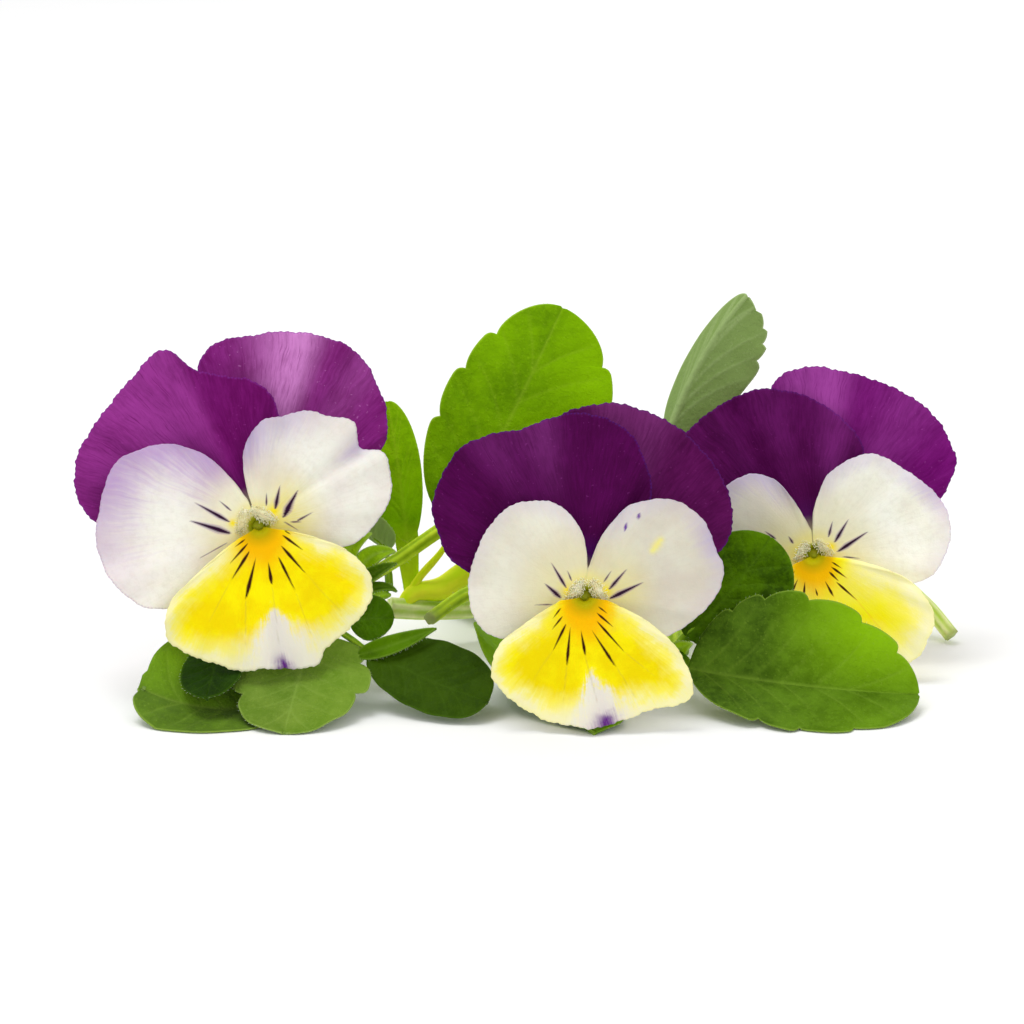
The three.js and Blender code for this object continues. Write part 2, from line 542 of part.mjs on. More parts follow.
// The spur is the lower petal's own claw, drawn back past the throat into a blunt tube.
const spurSolid = (bloom, extra = 0) => {
  const place = faceOf(bloom);
  const path = [[0.2, -4.4, 0.6], [0.2, -3.3, -0.8], [0.3, -3.2, -4.5], SPUR.tip];
  const radii = [SPUR.radius, SPUR.radius];
  return rodSolid(path.map((p) => place(...p).toArray()), radii, STALK_SIDES, 5, extra);
};

// Ovary, anther cone and the round head of the style, in the mouth of the throat.
const HEART_PROFILE = [[0, -6.2], [1.2, -6.0], [1.1, -1.6], [1.45, -0.2], [1.5, 0.5], [1.0, 1.2], [0, 1.4]];
const heartSolid = (bloom) => {
  const lathe = new THREE.LatheGeometry(HEART_PROFILE.map(([r, h]) => new THREE.Vector2(r, h)), 10);
  const place = faceOf(bloom);
  const at = lathe.attributes.position;
  for (let i = 0; i < at.count; i++) {
    const p = place(at.getX(i), at.getZ(i), at.getY(i));
    at.setXYZ(i, p.x, p.y, p.z);
  }
  lathe.deleteAttribute("normal");
  lathe.deleteAttribute("uv");
  return facingOut(mergeVertices(lathe));
};

const stalkRod = (bloom, extra = 0) => {
  const place = faceOf(bloom);
  const nape = [[0, 0, SEPALS.depth - 1.2], [0, 0.9, SEPALS.depth - 3.8]].map((p) => place(...p).toArray());
  return rodSolid([...nape, ...bloom.stalk], [STALK_RADIUS, STALK_RADIUS], STALK_SIDES, 10, extra);
};

// The green stalk, the cup that it ends in and its five pointed sepals, each with a lobe behind.
const stalkSolid = (bloom) => {
  const place = faceOf(bloom);
  const put = (p) => place(...p).toArray();
  const { count, length, reach, depth } = SEPALS;
  const cup = rodSolid([put([0, 0, depth + 0.6]), put([0, 0, depth - 1]), put([0, 0.1, depth - 2.2])],
    [1.4, 0.9], STALK_SIDES, 2);
  const facing = place(0, 0, 1).sub(place(0, 0, 0)).toArray();
  const sepals = [];
  for (let k = 0; k < count; k++) {
    const turn = rad(90 + (360 * k) / count);
    const out = (distance, w) => put([distance * Math.cos(turn), distance * Math.sin(turn), w]);
    const [base, mid, tip] = [out(-2.0, depth - 0.8), out(length * 0.45, depth), out(length, depth - 1.2)];
    sepals.push(pointedBlade({ base, mid, tip, facing, reach }));
  }
  return join([cup, stalkRod(bloom), ...sepals]);
};

// ---------- assembly ----------
const stemOf = (extra) =>
  join([
    rodSolid(MAIN_STEM, MAIN_STEM_RADII, STEM_SIDES, 22, extra),
    ...BRANCHES.map((b) => rodSolid(b.points, b.radii, STEM_SIDES, b.steps, extra)),
  ]);
const ground = toSolid(new THREE.BoxGeometry(400, 400, 40).translate(0, 0, -20));
const largest = (solid) =>
  solid.decompose().reduce((best, next) => (next.volume() > best.volume() ? next : best));

const shoot = new THREE.Group();
shoot.position.set(-REST_CENTRE[0], -REST_CENTRE[1], 0);
const add = (name, solid, surface) => {
  const mesh = new THREE.Mesh(toGeometry(largest(solid.subtract(ground))), surface);
  mesh.name = name;
  shoot.add(mesh);
};

add("leafy_stem", join([stemOf(0), ...STIPULES.map((lobe) => pointedBlade(lobe))]), STEM_GREEN);

// What grows from the stem ends a gap short of it, and of the stalks that were placed before it.
let taken = join([stemOf(GAP), ...STIPULES.map((lobe) => pointedBlade(lobe, GAP))]);
const grow = (name, solid, surface, clearance) => {
  add(name, solid.subtract(taken), surface);
  taken = taken.add(clearance);
};
for (const [name, leaf] of Object.entries(LEAVES))
  grow(name, leafSolid(leaf), LEAF_GREEN, petioleSolid(leaf, GAP));
for (const [side, bloom] of Object.entries(BLOOMS)) {
  const stalk = stalkSolid(bloom).subtract(spurSolid(bloom, GAP));
  grow(`${side}_flower_stalk`, stalk, STALK_GREEN, stalkRod(bloom, GAP));
  add(`${side}_heart`, heartSolid(bloom), HEART_GREEN);
  for (const name of Object.keys(bloom.petals)) {
    const claw = name === "lower" ? spurSolid(bloom) : clawSolid(bloom, name);
    const surface = { upper_back: MAUVE, upper_front: PURPLE, lower: YELLOW }[name] ?? CREAM;
    add(`${side}_petal_${name}`, petalSolid(bloom, name).add(claw), surface);
  }
}

export default shoot;
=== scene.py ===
# A cut, leafy pansy shoot lying on its side: fine petals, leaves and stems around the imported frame.
# Places and sizes are in millimetres before the shoot's footprint is centred; meshes are in metres.
import math
from collections import defaultdict
from dataclasses import dataclass
from types import SimpleNamespace

import bpy
import numpy as np
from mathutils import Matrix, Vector


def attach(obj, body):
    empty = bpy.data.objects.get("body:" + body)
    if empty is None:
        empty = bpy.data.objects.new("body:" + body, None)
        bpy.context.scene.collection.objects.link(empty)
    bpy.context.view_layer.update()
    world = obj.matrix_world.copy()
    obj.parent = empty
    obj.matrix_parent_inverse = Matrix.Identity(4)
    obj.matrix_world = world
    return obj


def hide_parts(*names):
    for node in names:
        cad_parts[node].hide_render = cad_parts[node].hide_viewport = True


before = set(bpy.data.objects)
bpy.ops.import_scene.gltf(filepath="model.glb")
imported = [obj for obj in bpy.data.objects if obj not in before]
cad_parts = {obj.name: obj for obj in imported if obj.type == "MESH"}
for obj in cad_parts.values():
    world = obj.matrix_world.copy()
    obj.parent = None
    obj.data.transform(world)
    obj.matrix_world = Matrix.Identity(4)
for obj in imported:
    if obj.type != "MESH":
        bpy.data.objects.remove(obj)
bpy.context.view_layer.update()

# ---------- driving dimensions, in millimetres and degrees ----------
MM = 0.001
REST_CENTRE = np.array([2.16, 29.61, 0.0])  # the middle of the shoot's footprint
SEED = 7
THROAT_DEPTH = 3.0
FACE_LEAN = 15  # the blooms' faces lean back from upright
PETAL_BASE = 0.34  # thickness near the throat
PETAL_EDGE = 0.13  # thickness at the margin
LEAF_HALF = 0.16  # from a leaf's middle surface to either face
CUT_FADE = 0.7  # a cut end's colour fades over this length

rng = np.random.default_rng(SEED)


def linear(red, green, blue):
    """An 0 to 255 screen colour as a linear RGBA colour."""
    shares = [c / 255 for c in (red, green, blue)]
    return [s / 12.92 if s <= 0.04045 else ((s + 0.055) / 1.055) ** 2.4 for s in shares] + [1.0]


# ---------- shaders ----------
class Term:
    """A value in a node tree, which takes part in sums as a number does."""

    def __init__(self, shader, socket):
        self.shader, self.socket = shader, socket

    def __add__(self, other):
        return self.shader.math("ADD", self, other)

    def __sub__(self, other):
        return self.shader.math("SUBTRACT", self, other)

    def __mul__(self, other):
        return self.shader.math("MULTIPLY", self, other)

    def __truediv__(self, other):
        return self.shader.math("DIVIDE", self, other)

    def ease(self, low, high, start=0.0, end=1.0):
        """start below low, end above high, smooth between."""
        ends = {"From Min": low, "From Max": high, "To Min": start, "To Max": end}
        return self.shader.add("MapRange", {"Value": self, **ends}, "Result", interpolation_type="SMOOTHSTEP")

    def bell(self, centre, spread):
        """1 at centre, falling to nothing a few spreads away."""
        offset = (self - centre) / spread
        return self.shader.math("EXPONENT", offset * offset * -1.0)


class Shader:
    """A node material, whose base colour is built up coat by coat."""

    def __init__(self, name, roughness, gloss, subsurface=0.0):
        self.material = bpy.data.materials.new(name)
        self.material.use_nodes = True
        self.tree = self.material.node_tree
        self.tree.nodes.clear()
        self.surface = self.tree.nodes.new("ShaderNodeBsdfPrincipled")
        self.set("Roughness", roughness)
        self.set("Specular IOR Level", gloss)
        self.set("Subsurface Weight", subsurface)
        self.set("Subsurface Scale", 0.6 * MM)
        output = self.tree.nodes.new("ShaderNodeOutputMaterial")
        self.tree.links.new(self.surface.outputs["BSDF"], output.inputs["Surface"])

    def put(self, socket, value):
        if isinstance(value, Term):
            self.tree.links.new(value.socket, socket)
        else:
            socket.default_value = value

    def set(self, name, value):
        self.put(self.surface.inputs[name], value)

    def add(self, kind, inputs, output=0, **settings):
        """A new node, with terms or constants on its inputs, and one of its outputs as a term."""
        node = self.tree.nodes.new("ShaderNode" + kind)
        for key, value in settings.items():
            setattr(node, key, value)
        for key, value in inputs.items():
            self.put(node.inputs[key], value)
        return Term(self, node.outputs[output])

    def attribute(self, name):
        return self.add("Attribute", {}, "Fac", attribute_name=name)

    def math(self, operation, *values):
        return self.add("Math", dict(enumerate(values)), operation=operation)

    def mix(self, share, first, second):
        return self.add("Mix", {0: share, 6: first, 7: second}, 2, data_type="RGBA")

    def noise(self, scale, detail=2.0, roughness=0.5, vector=None):
        place = vector or self.add("TexCoord", {}, "Object")
        inputs = {"Vector": place, "Scale": scale, "Detail": detail, "Roughness": roughness}
        return self.add("TexNoise", inputs, "Fac")

    def coat(self, share, *colour):
        """Lay a linear colour, or a screen colour's three numbers, over the base. share is how strongly."""
        self.base = self.mix(share, self.base, linear(*colour) if len(colour) == 3 else colour[0])

    def bump(self, height, distance, strength):
        inputs = {"Strength": strength, "Distance": distance * MM, "Height": height}
        self.set("Normal", self.add("Bump", inputs, "Normal"))

    def finish(self):
        self.set("Base Color", self.base)
        return self.material


def streaks(shader, per_degree, per_mm, seed):
    """Noise drawn out along the petal from throat to margin, with a slight waver."""
    turn = (shader.attribute("turn") + shader.noise(190.0) * 5.0) * per_degree
    stretched = {0: turn, 1: shader.attribute("reach") * per_mm, 2: seed}
    return shader.noise(1.0, 4.0, 0.6, shader.add("CombineXYZ", stretched))


def petal_relief(shader, ribs, depth):
    shader.bump(shader.noise(4200.0, 3.0) * 0.5 + ribs, depth, 0.8)


def upper_material(name, deep, rib, pale, rim, outer_heart, inner_heart):
    shader = Shader(name, 0.62, 0.05)
    reach = shader.attribute("reach")
    fine = streaks(shader, 1.0, 0.4, 0.0)
    blend = fine * 0.5 + shader.noise(210.0, 4.0, 0.55) * 0.5
    shader.base = shader.mix(blend.ease(0.32, 0.7), deep, rib)
    # Painted highlight: a paler colour laid where the velvet's sheen and the lit side of a fold catch the
    # light.
    shader.coat(shader.attribute("glow") * blend.ease(0.3, 0.6, 0.55, 1.0), pale)
    shader.coat(streaks(shader, 2.4, 0.22, 5.0).ease(0.54, 0.68, 0.0, 0.5), deep)
    shader.coat(shader.noise(2600.0, 1.0).ease(0.7, 0.78, 0.0, 0.35), pale)
    shader.coat(shader.attribute("edge").ease(0.03, 0.32, 0.5, 0.0), rim)
    shader.coat(reach.ease(3.8, 8.0, 0.8, 0.0), outer_heart)
    shader.coat(reach.ease(2.6, 5.2, 1.0, 0.0), inner_heart)
    petal_relief(shader, fine, 0.07)
    return shader.finish()


def side_material(name, first_cream, second_cream, lavender, flush, spread):
    """flush is how strongly the lavender of the margin shows, and spread how far in it reaches."""
    shader = Shader(name, 0.62, 0.1, 0.1)
    reach, edge = shader.attribute("reach"), shader.attribute("edge")
    ribs = streaks(shader, 0.6, 0.18, 1.0)
    clouds = shader.noise(160.0, 3.0)
    shader.base = shader.mix(clouds.ease(0.35, 0.65), first_cream, second_cream)
    shader.coat(shader.noise(1100.0, 4.0, 0.7).ease(0.42, 0.7, 0.0, 0.16), 200, 190, 172)
    far_in = edge + (ribs + clouds - 1.0) * (0.75 * spread)
    flushed = far_in.ease(0.0, spread, 1.0, 0.0) * shader.attribute("flush") * reach.ease(4.0, 9.0)
    shader.coat(flushed * flush, lavender)
    shader.coat(edge.ease(0.0, 0.3, 0.5 * flush, 0.0), lavender)
    warm = reach.ease(2.0, 9.5, 1.0, 0.0) * shader.attribute("warm") * ribs.ease(0.3, 0.65, 0.55, 1.0)
    shader.coat(warm, 250, 234, 70)
    # Painted shade: a darker, greener cream near the throat, where the side petals sink into shade.
    shader.coat(reach.ease(3.5, 11.0, 0.42, 0.0), 224, 214, 144)
    shader.coat(reach.ease(2.0, 4.2, 0.6, 0.0), 240, 226, 110)
    shader.coat(shader.attribute("blotch"), 250, 238, 90)
    shader.coat(shader.attribute("spot"), 254, 230, 0)
    shader.coat(reach.ease(1.25, 1.6, 1.0, 0.0), 156, 160, 8)
    shader.coat(ribs.ease(0.52, 0.56, 0.0, 0.05), 190, 180, 160)
    shader.coat(shader.attribute("fleck"), 100, 54, 150)
    shader.coat(shader.attribute("halo"), 150, 110, 170)
    shader.coat(shader.attribute("mark"), 44, 10, 46)
    petal_relief(shader, ribs * 0.4, 0.06)
    return shader.finish()


def lower_material(name, wedge, wedge_start, wedge_spread, tip, tip_size, pale_width, painted_glow,
                   light, deep):
    """wedge and tip are where, round the throat, the white wedge and its violet tip lie."""
    shader = Shader(name, 0.58, 0.05, 0.05)
    turn, reach, edge = (shader.attribute(a) for a in ("turn", "reach", "edge"))
    ribs = streaks(shader, 0.9, 0.2, 2.0)
    clouds = shader.noise(300.0, 4.0, 0.6)
    fine = ribs + shader.noise(900.0, 3.0, 0.6) - 1.0
    rough = clouds - 0.5
    shader.base = shader.mix(clouds.ease(0.35, 0.68), light, deep)
    # The orange glow round the throat, which reaches farthest along the wedge's direction.
    aside = (turn - wedge) / 62.0
    glow_reach = (reach - fine * 1.5) * (aside * aside * 0.5 + 1.0)
    shader.coat(glow_reach.ease(3.2, 6.8, 1.0, 0.0), 250, 188, 0)
    # The pale margin.
    widening = turn.bell(wedge, 45.0) * 0.45 + 0.55
    inset = (edge + (rough * (1.8 * min(pale_width, 1.5)) + fine * 1.5)) / widening
    held = reach.ease(3.0, 8.5)
    shader.coat(inset.ease(0.6 * pale_width, 2.8 * pale_width, 1.0, 0.0) * held, 252, 242, 116)
    shader.coat(inset.ease(0.0, 1.5 * pale_width, 1.0, 0.0) * held, 248, 242, 196)
    shader.coat((edge + fine * 0.8).ease(0.0, 0.9, 0.75, 0.0) * reach.ease(2.5, 6.5), 250, 243, 170)
    # The white wedge and its violet tip.
    opening = reach.ease(wedge_start, wedge_start + 5.5, 2.4, wedge_spread)
    wavering = turn + (rough + fine) * 14.0
    start = reach + rough * 5.0
    white = wavering.bell(wedge, opening) * start.ease(wedge_start, wedge_start + 1.6)
    shader.coat(shader.math("MINIMUM", white * 1.5, 1.0), 238, 233, 212)
    shader.coat(turn.bell(tip, 0.5 * wedge_spread) * white * 0.3, 214, 204, 222)
    near_tip, tip_height = turn + fine * 6.0, edge + fine
    shader.coat(near_tip.bell(tip, 1.8 * tip_size) * tip_height.ease(0.0, 3.0, 0.5, 0.0), 196, 176, 206)
    shader.coat(near_tip.bell(tip, tip_size) * tip_height.ease(0.5, 2.1, 1.0, 0.0), 98, 42, 130)
    shader.coat(reach.ease(1.6, 3.0, 1.0, 0.0), 214, 172, 2)
    shader.coat(reach.ease(1.0, 1.9, 1.0, 0.0), 176, 166, 4)
    shader.coat(shader.attribute("vein") * 0.22, 150, 130, 70)
    shader.coat(shader.attribute("mark"), 56, 18, 10)
    # Painted light: the petal glows with its own colour, though it is no lamp, which brightens it as if more
    # light reached it.
    shader.set("Emission Color", shader.base)
    shader.set("Emission Strength", painted_glow)
    petal_relief(shader, ribs * 0.5, 0.06)
    return shader.finish()


def leaf_material(name, light, dark, under, rim):
    shader = Shader(name, 0.5, 0.035)
    vein = shader.attribute("vein")
    clouds = shader.noise(180.0, 5.0, 0.65).ease(0.35, 0.68)
    net = shader.noise(900.0, 4.0, 0.7).ease(0.42, 0.6)
    speckle = shader.noise(3400.0)
    shader.base = shader.mix(clouds * 0.5, under, light)
    shader.coat(vein * 0.45, rim)
    below = shader.base
    shader.base = shader.mix(clouds, dark, light)
    shader.coat(net * 0.4, light)
    # Painted light: a bright yellow-green where light would shine through the blade.
    shader.coat(shader.attribute("sun") * 0.85, 150, 206, 0)
    shader.coat(vein * 0.3, rim)
    shader.coat(shader.attribute("below"), below)
    # Painted light: a bright yellow-green glow over the foot of the blade.
    shader.coat(shader.attribute("young"), 232, 255, 40)
    shader.coat(shader.attribute("edge").ease(0.03, 0.26, 0.6, 0.0), rim)
    shader.coat(speckle.ease(0.6, 0.72, 0.0, 0.22), rim)
    shader.bump(speckle + net * 1.2, 0.06, 0.6)
    return shader.finish()


def stem_material(name, light, dark):
    shader = Shader(name, 0.5, 0.08, 0.08)
    grain = shader.noise(420.0, 4.0, 0.6).ease(0.35, 0.7)
    shader.base = shader.mix(grain * 0.35 + shader.attribute("rib") * 0.75, dark, light)
    shader.coat(shader.attribute("cut"), 176, 190, 110)
    shader.bump(shader.noise(2600.0, 3.0), 0.05, 0.6)
    return shader.finish()


def plain_material(name, first, second, scale, roughness=0.5):
    shader = Shader(name, roughness, 0.2, 0.1)
    shader.base = shader.mix(shader.noise(scale, 3.0).ease(0.35, 0.65), first, second)
    shader.bump(shader.noise(4 * scale), 0.04, 0.5)
    return shader.finish()


def painted(maker, name, *values):
    """A material from its maker. Each value of three numbers is a screen colour, any other stays as it is."""
    return maker(name, *(linear(*v) if np.size(v) == 3 else v for v in values))


# ---------- meshes ----------
class Shell:
    """One closed skin: points in millimetres, faces, a value at each point for each attribute, a material."""

    def __init__(self, points, faces, material, **attributes):
        self.points, self.faces, self.material = np.asarray(points, float), faces, material
        self.attributes = attributes


def piece(name, shells, slot, *nodes):
    """One object from its shells, which rides on the shoot and stands for the named nodes."""
    faces, start = [], 0
    for shell in shells:
        faces += [tuple(i + start for i in face) for face in shell.faces]
        start += len(shell.points)
    materials = list(dict.fromkeys(shell.material for shell in shells))
    indices = [materials.index(shell.material) for shell in shells for _ in shell.faces]
    mesh = bpy.data.meshes.new(name)
    places = np.concatenate([shell.points for shell in shells]) - REST_CENTRE
    places[:, 2] = np.maximum(places[:, 2], 0.01)
    mesh.from_pydata((places * MM).tolist(), [], faces)
    for material in materials:
        mesh.materials.append(material)
    mesh.polygons.foreach_set("material_index", indices)
    mesh.polygons.foreach_set("use_smooth", [True] * len(faces))
    for key in sorted(set().union(*(shell.attributes for shell in shells))):
        values = [np.broadcast_to(s.attributes.get(key, 0.0), len(s.points)) for s in shells]
        layer = mesh.attributes.new(key, "FLOAT", "POINT")
        layer.data.foreach_set("value", np.concatenate(values).astype(np.float32))
    mesh.update()
    built = bpy.data.objects.new(name, mesh)
    bpy.context.scene.collection.objects.link(built)
    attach(built, "root")
    if nodes:
        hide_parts(*nodes)


def unit(vectors):
    return vectors / np.maximum(np.linalg.norm(vectors, axis=-1, keepdims=True), 1e-9)


def run_of(points):
    """How far along the line each of its points lies."""
    return np.concatenate([[0], np.cumsum(np.linalg.norm(np.diff(points, axis=0), axis=1))])


def spline(points, count):
    """count points, evenly spaced, on a smooth curve through the given ones."""
    given = np.asarray(points, float)
    ends = np.vstack([2 * given[0] - given[1], given, 2 * given[-1] - given[-2]])
    t = np.linspace(0, 1, 24, endpoint=False)[:, None]
    dense = []
    for a, b, c, d in zip(ends, ends[1:], ends[2:], ends[3:]):
        curve = 2 * b + (c - a) * t + (2 * a - 5 * b + 4 * c - d) * t**2
        dense.append(0.5 * (curve + (3 * b - a - 3 * c + d) * t**3))
    dense = np.vstack(dense + [given[-1:]])
    along = run_of(dense)
    wanted = np.linspace(0, along[-1], count)
    return np.stack([np.interp(wanted, along, dense[:, k]) for k in range(dense.shape[1])], axis=1)


def tube_faces(rings, sides, first=0):
    """The quads between rings of points, which follow each other from first."""
    faces = []
    for i in range(first, first + (rings - 1) * sides, sides):
        for k in range(sides):
            a, b = i + k, i + (k + 1) % sides
            faces.append((a, b, b + sides, a + sides))
    return faces


def fan(centre, ring):
    """The triangles between a centre and a ring of points, given as numbers."""
    return [(centre, b, a) for a, b in zip(ring, [*ring[1:], ring[0]])]


def rod(points, radius, material, sides=14, per_mm=2.0, ribs=0, rib_height=0.0, cut=(0.0, 0.0), flat=1.0):
    """A closed round rod along a smooth curve. radius is one value or a list of them along its length."""
    length = run_of(np.asarray(points, float))[-1]
    count = max(6, int(length * per_mm))
    path = spline(points, count)
    share = np.linspace(0, 1, count)
    radii = np.interp(share, np.linspace(0, 1, np.size(radius)), np.atleast_1d(radius))
    tangents = unit(np.gradient(path, axis=0))
    normal = unit(np.cross(tangents[0], [0.3, 0.2, 0.93]))
    turns = np.linspace(0, 2 * math.pi, sides, endpoint=False)
    wave = np.cos(ribs * turns) if ribs else np.zeros(sides)
    rings = []
    for centre, tangent, r in zip(path, tangents, radii):
        normal = unit(normal - tangent * (normal @ tangent))
        reach = r * (1 + rib_height * wave)
        across = flat * np.outer(reach * np.sin(turns), np.cross(tangent, normal))
        rings.append(centre + np.outer(reach * np.cos(turns), normal) + across)
    last = count * sides
    faces = tube_faces(count, sides)
    faces += fan(last, range(sides)) + fan(last + 1, range(last - 1, last - 1 - sides, -1))
    along = np.repeat(share, sides) * length
    browned = cut[0] * np.exp(-along / CUT_FADE) + cut[1] * np.exp((along - length) / CUT_FADE)
    return Shell(np.vstack([*rings, path[:1], path[-1:]]), faces, material,
                 rib=[*np.tile(0.5 + 0.5 * wave, count), 0.5, 0.5], cut=[*browned, *cut])


def sheet(grid, above, below, material, **attributes):
    """A closed skin with its two faces above and below a grid's points. An attribute may be a grid too."""
    shape = grid.shape[:2]
    normals = unit(np.cross(np.gradient(grid, axis=1), np.gradient(grid, axis=0)))
    upper = grid + normals * np.broadcast_to(above, shape)[..., None]
    under = grid - normals * np.broadcast_to(below, shape)[..., None]
    index = np.arange(upper[..., 0].size).reshape(shape)
    a, b, c, d = index[:-1, :-1], index[1:, :-1], index[1:, 1:], index[:-1, 1:]
    faces = np.stack([a, d, c, b], axis=-1).reshape(-1, 4).tolist()
    faces += (np.stack([a, b, c, d], axis=-1).reshape(-1, 4) + index.size).tolist()
    border = np.concatenate([index[:, 0], index[-1, 1:], index[-2::-1, -1], index[0, -2:0:-1]])
    ahead = np.roll(border, -1)
    faces += np.stack([border, ahead, ahead + index.size, border + index.size], axis=-1).tolist()
    spread = {k: np.tile(np.broadcast_to(v, shape).reshape(-1), 2) for k, v in attributes.items()}
    spread["below"] = np.repeat([0.0, 1.0], index.size)
    return Shell(np.vstack([upper.reshape(-1, 3), under.reshape(-1, 3)]), faces, material, **spread)


# A hair's width at shares of its length.
POINTED = ((0.0, 1.0), (0.55, 0.75))
CLUBBED = ((0.0, 0.6), (0.55, 0.85), (0.88, 0.95))


def hairs(roots, directions, lengths, radius, material, profile=POINTED, droop=(0, 0, -0.15)):
    """Closed, slightly bent hairs, one at each root."""
    roots, directions = np.asarray(roots, float), unit(np.asarray(directions, float))
    side = unit(np.cross(directions, [0.21, 0.53, 0.82]))
    other = np.cross(directions, side)
    lengths = np.asarray(lengths, float)[:, None]
    bend = np.asarray(droop, float) * lengths
    rings = []
    for share, width in profile:
        centre = roots + directions * lengths * share + bend * share**2
        for way in (side, other, -side, -other):
            rings.append(centre + radius * width * way)
    rings.append(roots + directions * lengths + bend)
    points = np.stack(rings, axis=1).reshape(-1, 3)
    faces, each = [], len(rings)
    for start in range(0, len(points), each):
        tip = start + each - 1
        faces.append((start + 3, start + 2, start + 1, start))
        faces += tube_faces(len(profile), 4, start) + fan(tip, range(tip - 1, tip - 5, -1))
    return Shell(points, faces, material)


def ball(centre, radii, axes, material, bulge, rings=18, sides=28):
    """A closed ball with its pole along the first axis. bulge scales each point's reach by its two angles."""
    tilt = np.linspace(0, math.pi, rings + 1)[1:-1]
    turns = np.linspace(0, 2 * math.pi, sides, endpoint=False)
    t, a = np.meshgrid(tilt, turns, indexing="ij")
    local = np.stack([np.cos(t), np.sin(t) * np.cos(a), np.sin(t) * np.sin(a)], axis=-1)
    local = local * bulge(t, a)[..., None] * np.asarray(radii, float)
    poles = [[radii[0], 0, 0], [-radii[0], 0, 0]]
    points = np.vstack([local.reshape(-1, 3), poles]) @ np.asarray(axes, float) + centre
    last = (rings - 1) * sides
    faces = tube_faces(rings - 1, sides) + fan(last, range(sides))
    faces += fan(last + 1, range(last - 1, last - 1 - sides, -1))
    return Shell(points, [face[::-1] for face in faces], material)


# ---------- leaves ----------
# A blade's course runs from its base through its middle to its tip, with the upper face towards a fourth
# direction. To the right and left of the midrib, as seen from above with the tip ahead, each half reaches
# so far out at its widest, carries rounded teeth between notches placed by turn, from 0 at the base to 1
# at the tip, and rises from the midrib by fold, with a further rise at the margin by curl. egg shifts the
# widest place towards the base, and a low full makes the ends blunt.
NOTCH_STEEP = 0.4  # a tooth rounds off to the notch ahead of it within this length
NOTCH_GENTLE = 1.7  # and the next one swells out over this length
NECK_TURN = 0.15  # the turn where a narrow foot ends
VEIN_LEAD = 0.1  # a row of points runs ahead by up to this share of the midrib on its way out
BLADE_ROWS = 150
BLADE_LANES = 26  # to each side of the midrib
VEIN_STARTS = (0.04, 0.14, 0.26, 0.4, 0.54, 0.68)  # shares of the midrib where side veins leave it


@dataclass
class Half:
    reach: float
    notches: tuple = ()
    depth: float = 1.0  # of the notches
    fold: float = 0.12
    curl: float = 0.0
    egg: float = 0.1
    full: float = 1.0


@dataclass
class Leaf:
    course: tuple
    right: Half
    left: Half
    petiole: list
    radius: float = 0.7  # of the petiole
    radii: list = None  # of the petiole, where one isn't enough
    join: tuple = (0.03, 0.14, 0.3)  # the petiole joins the blade at these shares of the midrib
    side: int = 1  # the petiole lies under the midrib, or over it where this is -1
    neck: tuple = (0.0, 0.0)  # how far a narrow foot runs, in shares of the midrib, and half its width
    sweep: float = 0.26  # how far ahead, in shares of the midrib, a side vein runs to the margin
    pucker: float = 0.15  # height of the swells between veins
    dawn: float = -0.5  # where the painted sunlight begins, in shares of the midrib
    young: float = 0  # how strongly a painted-light yellow-green glow brightens the foot
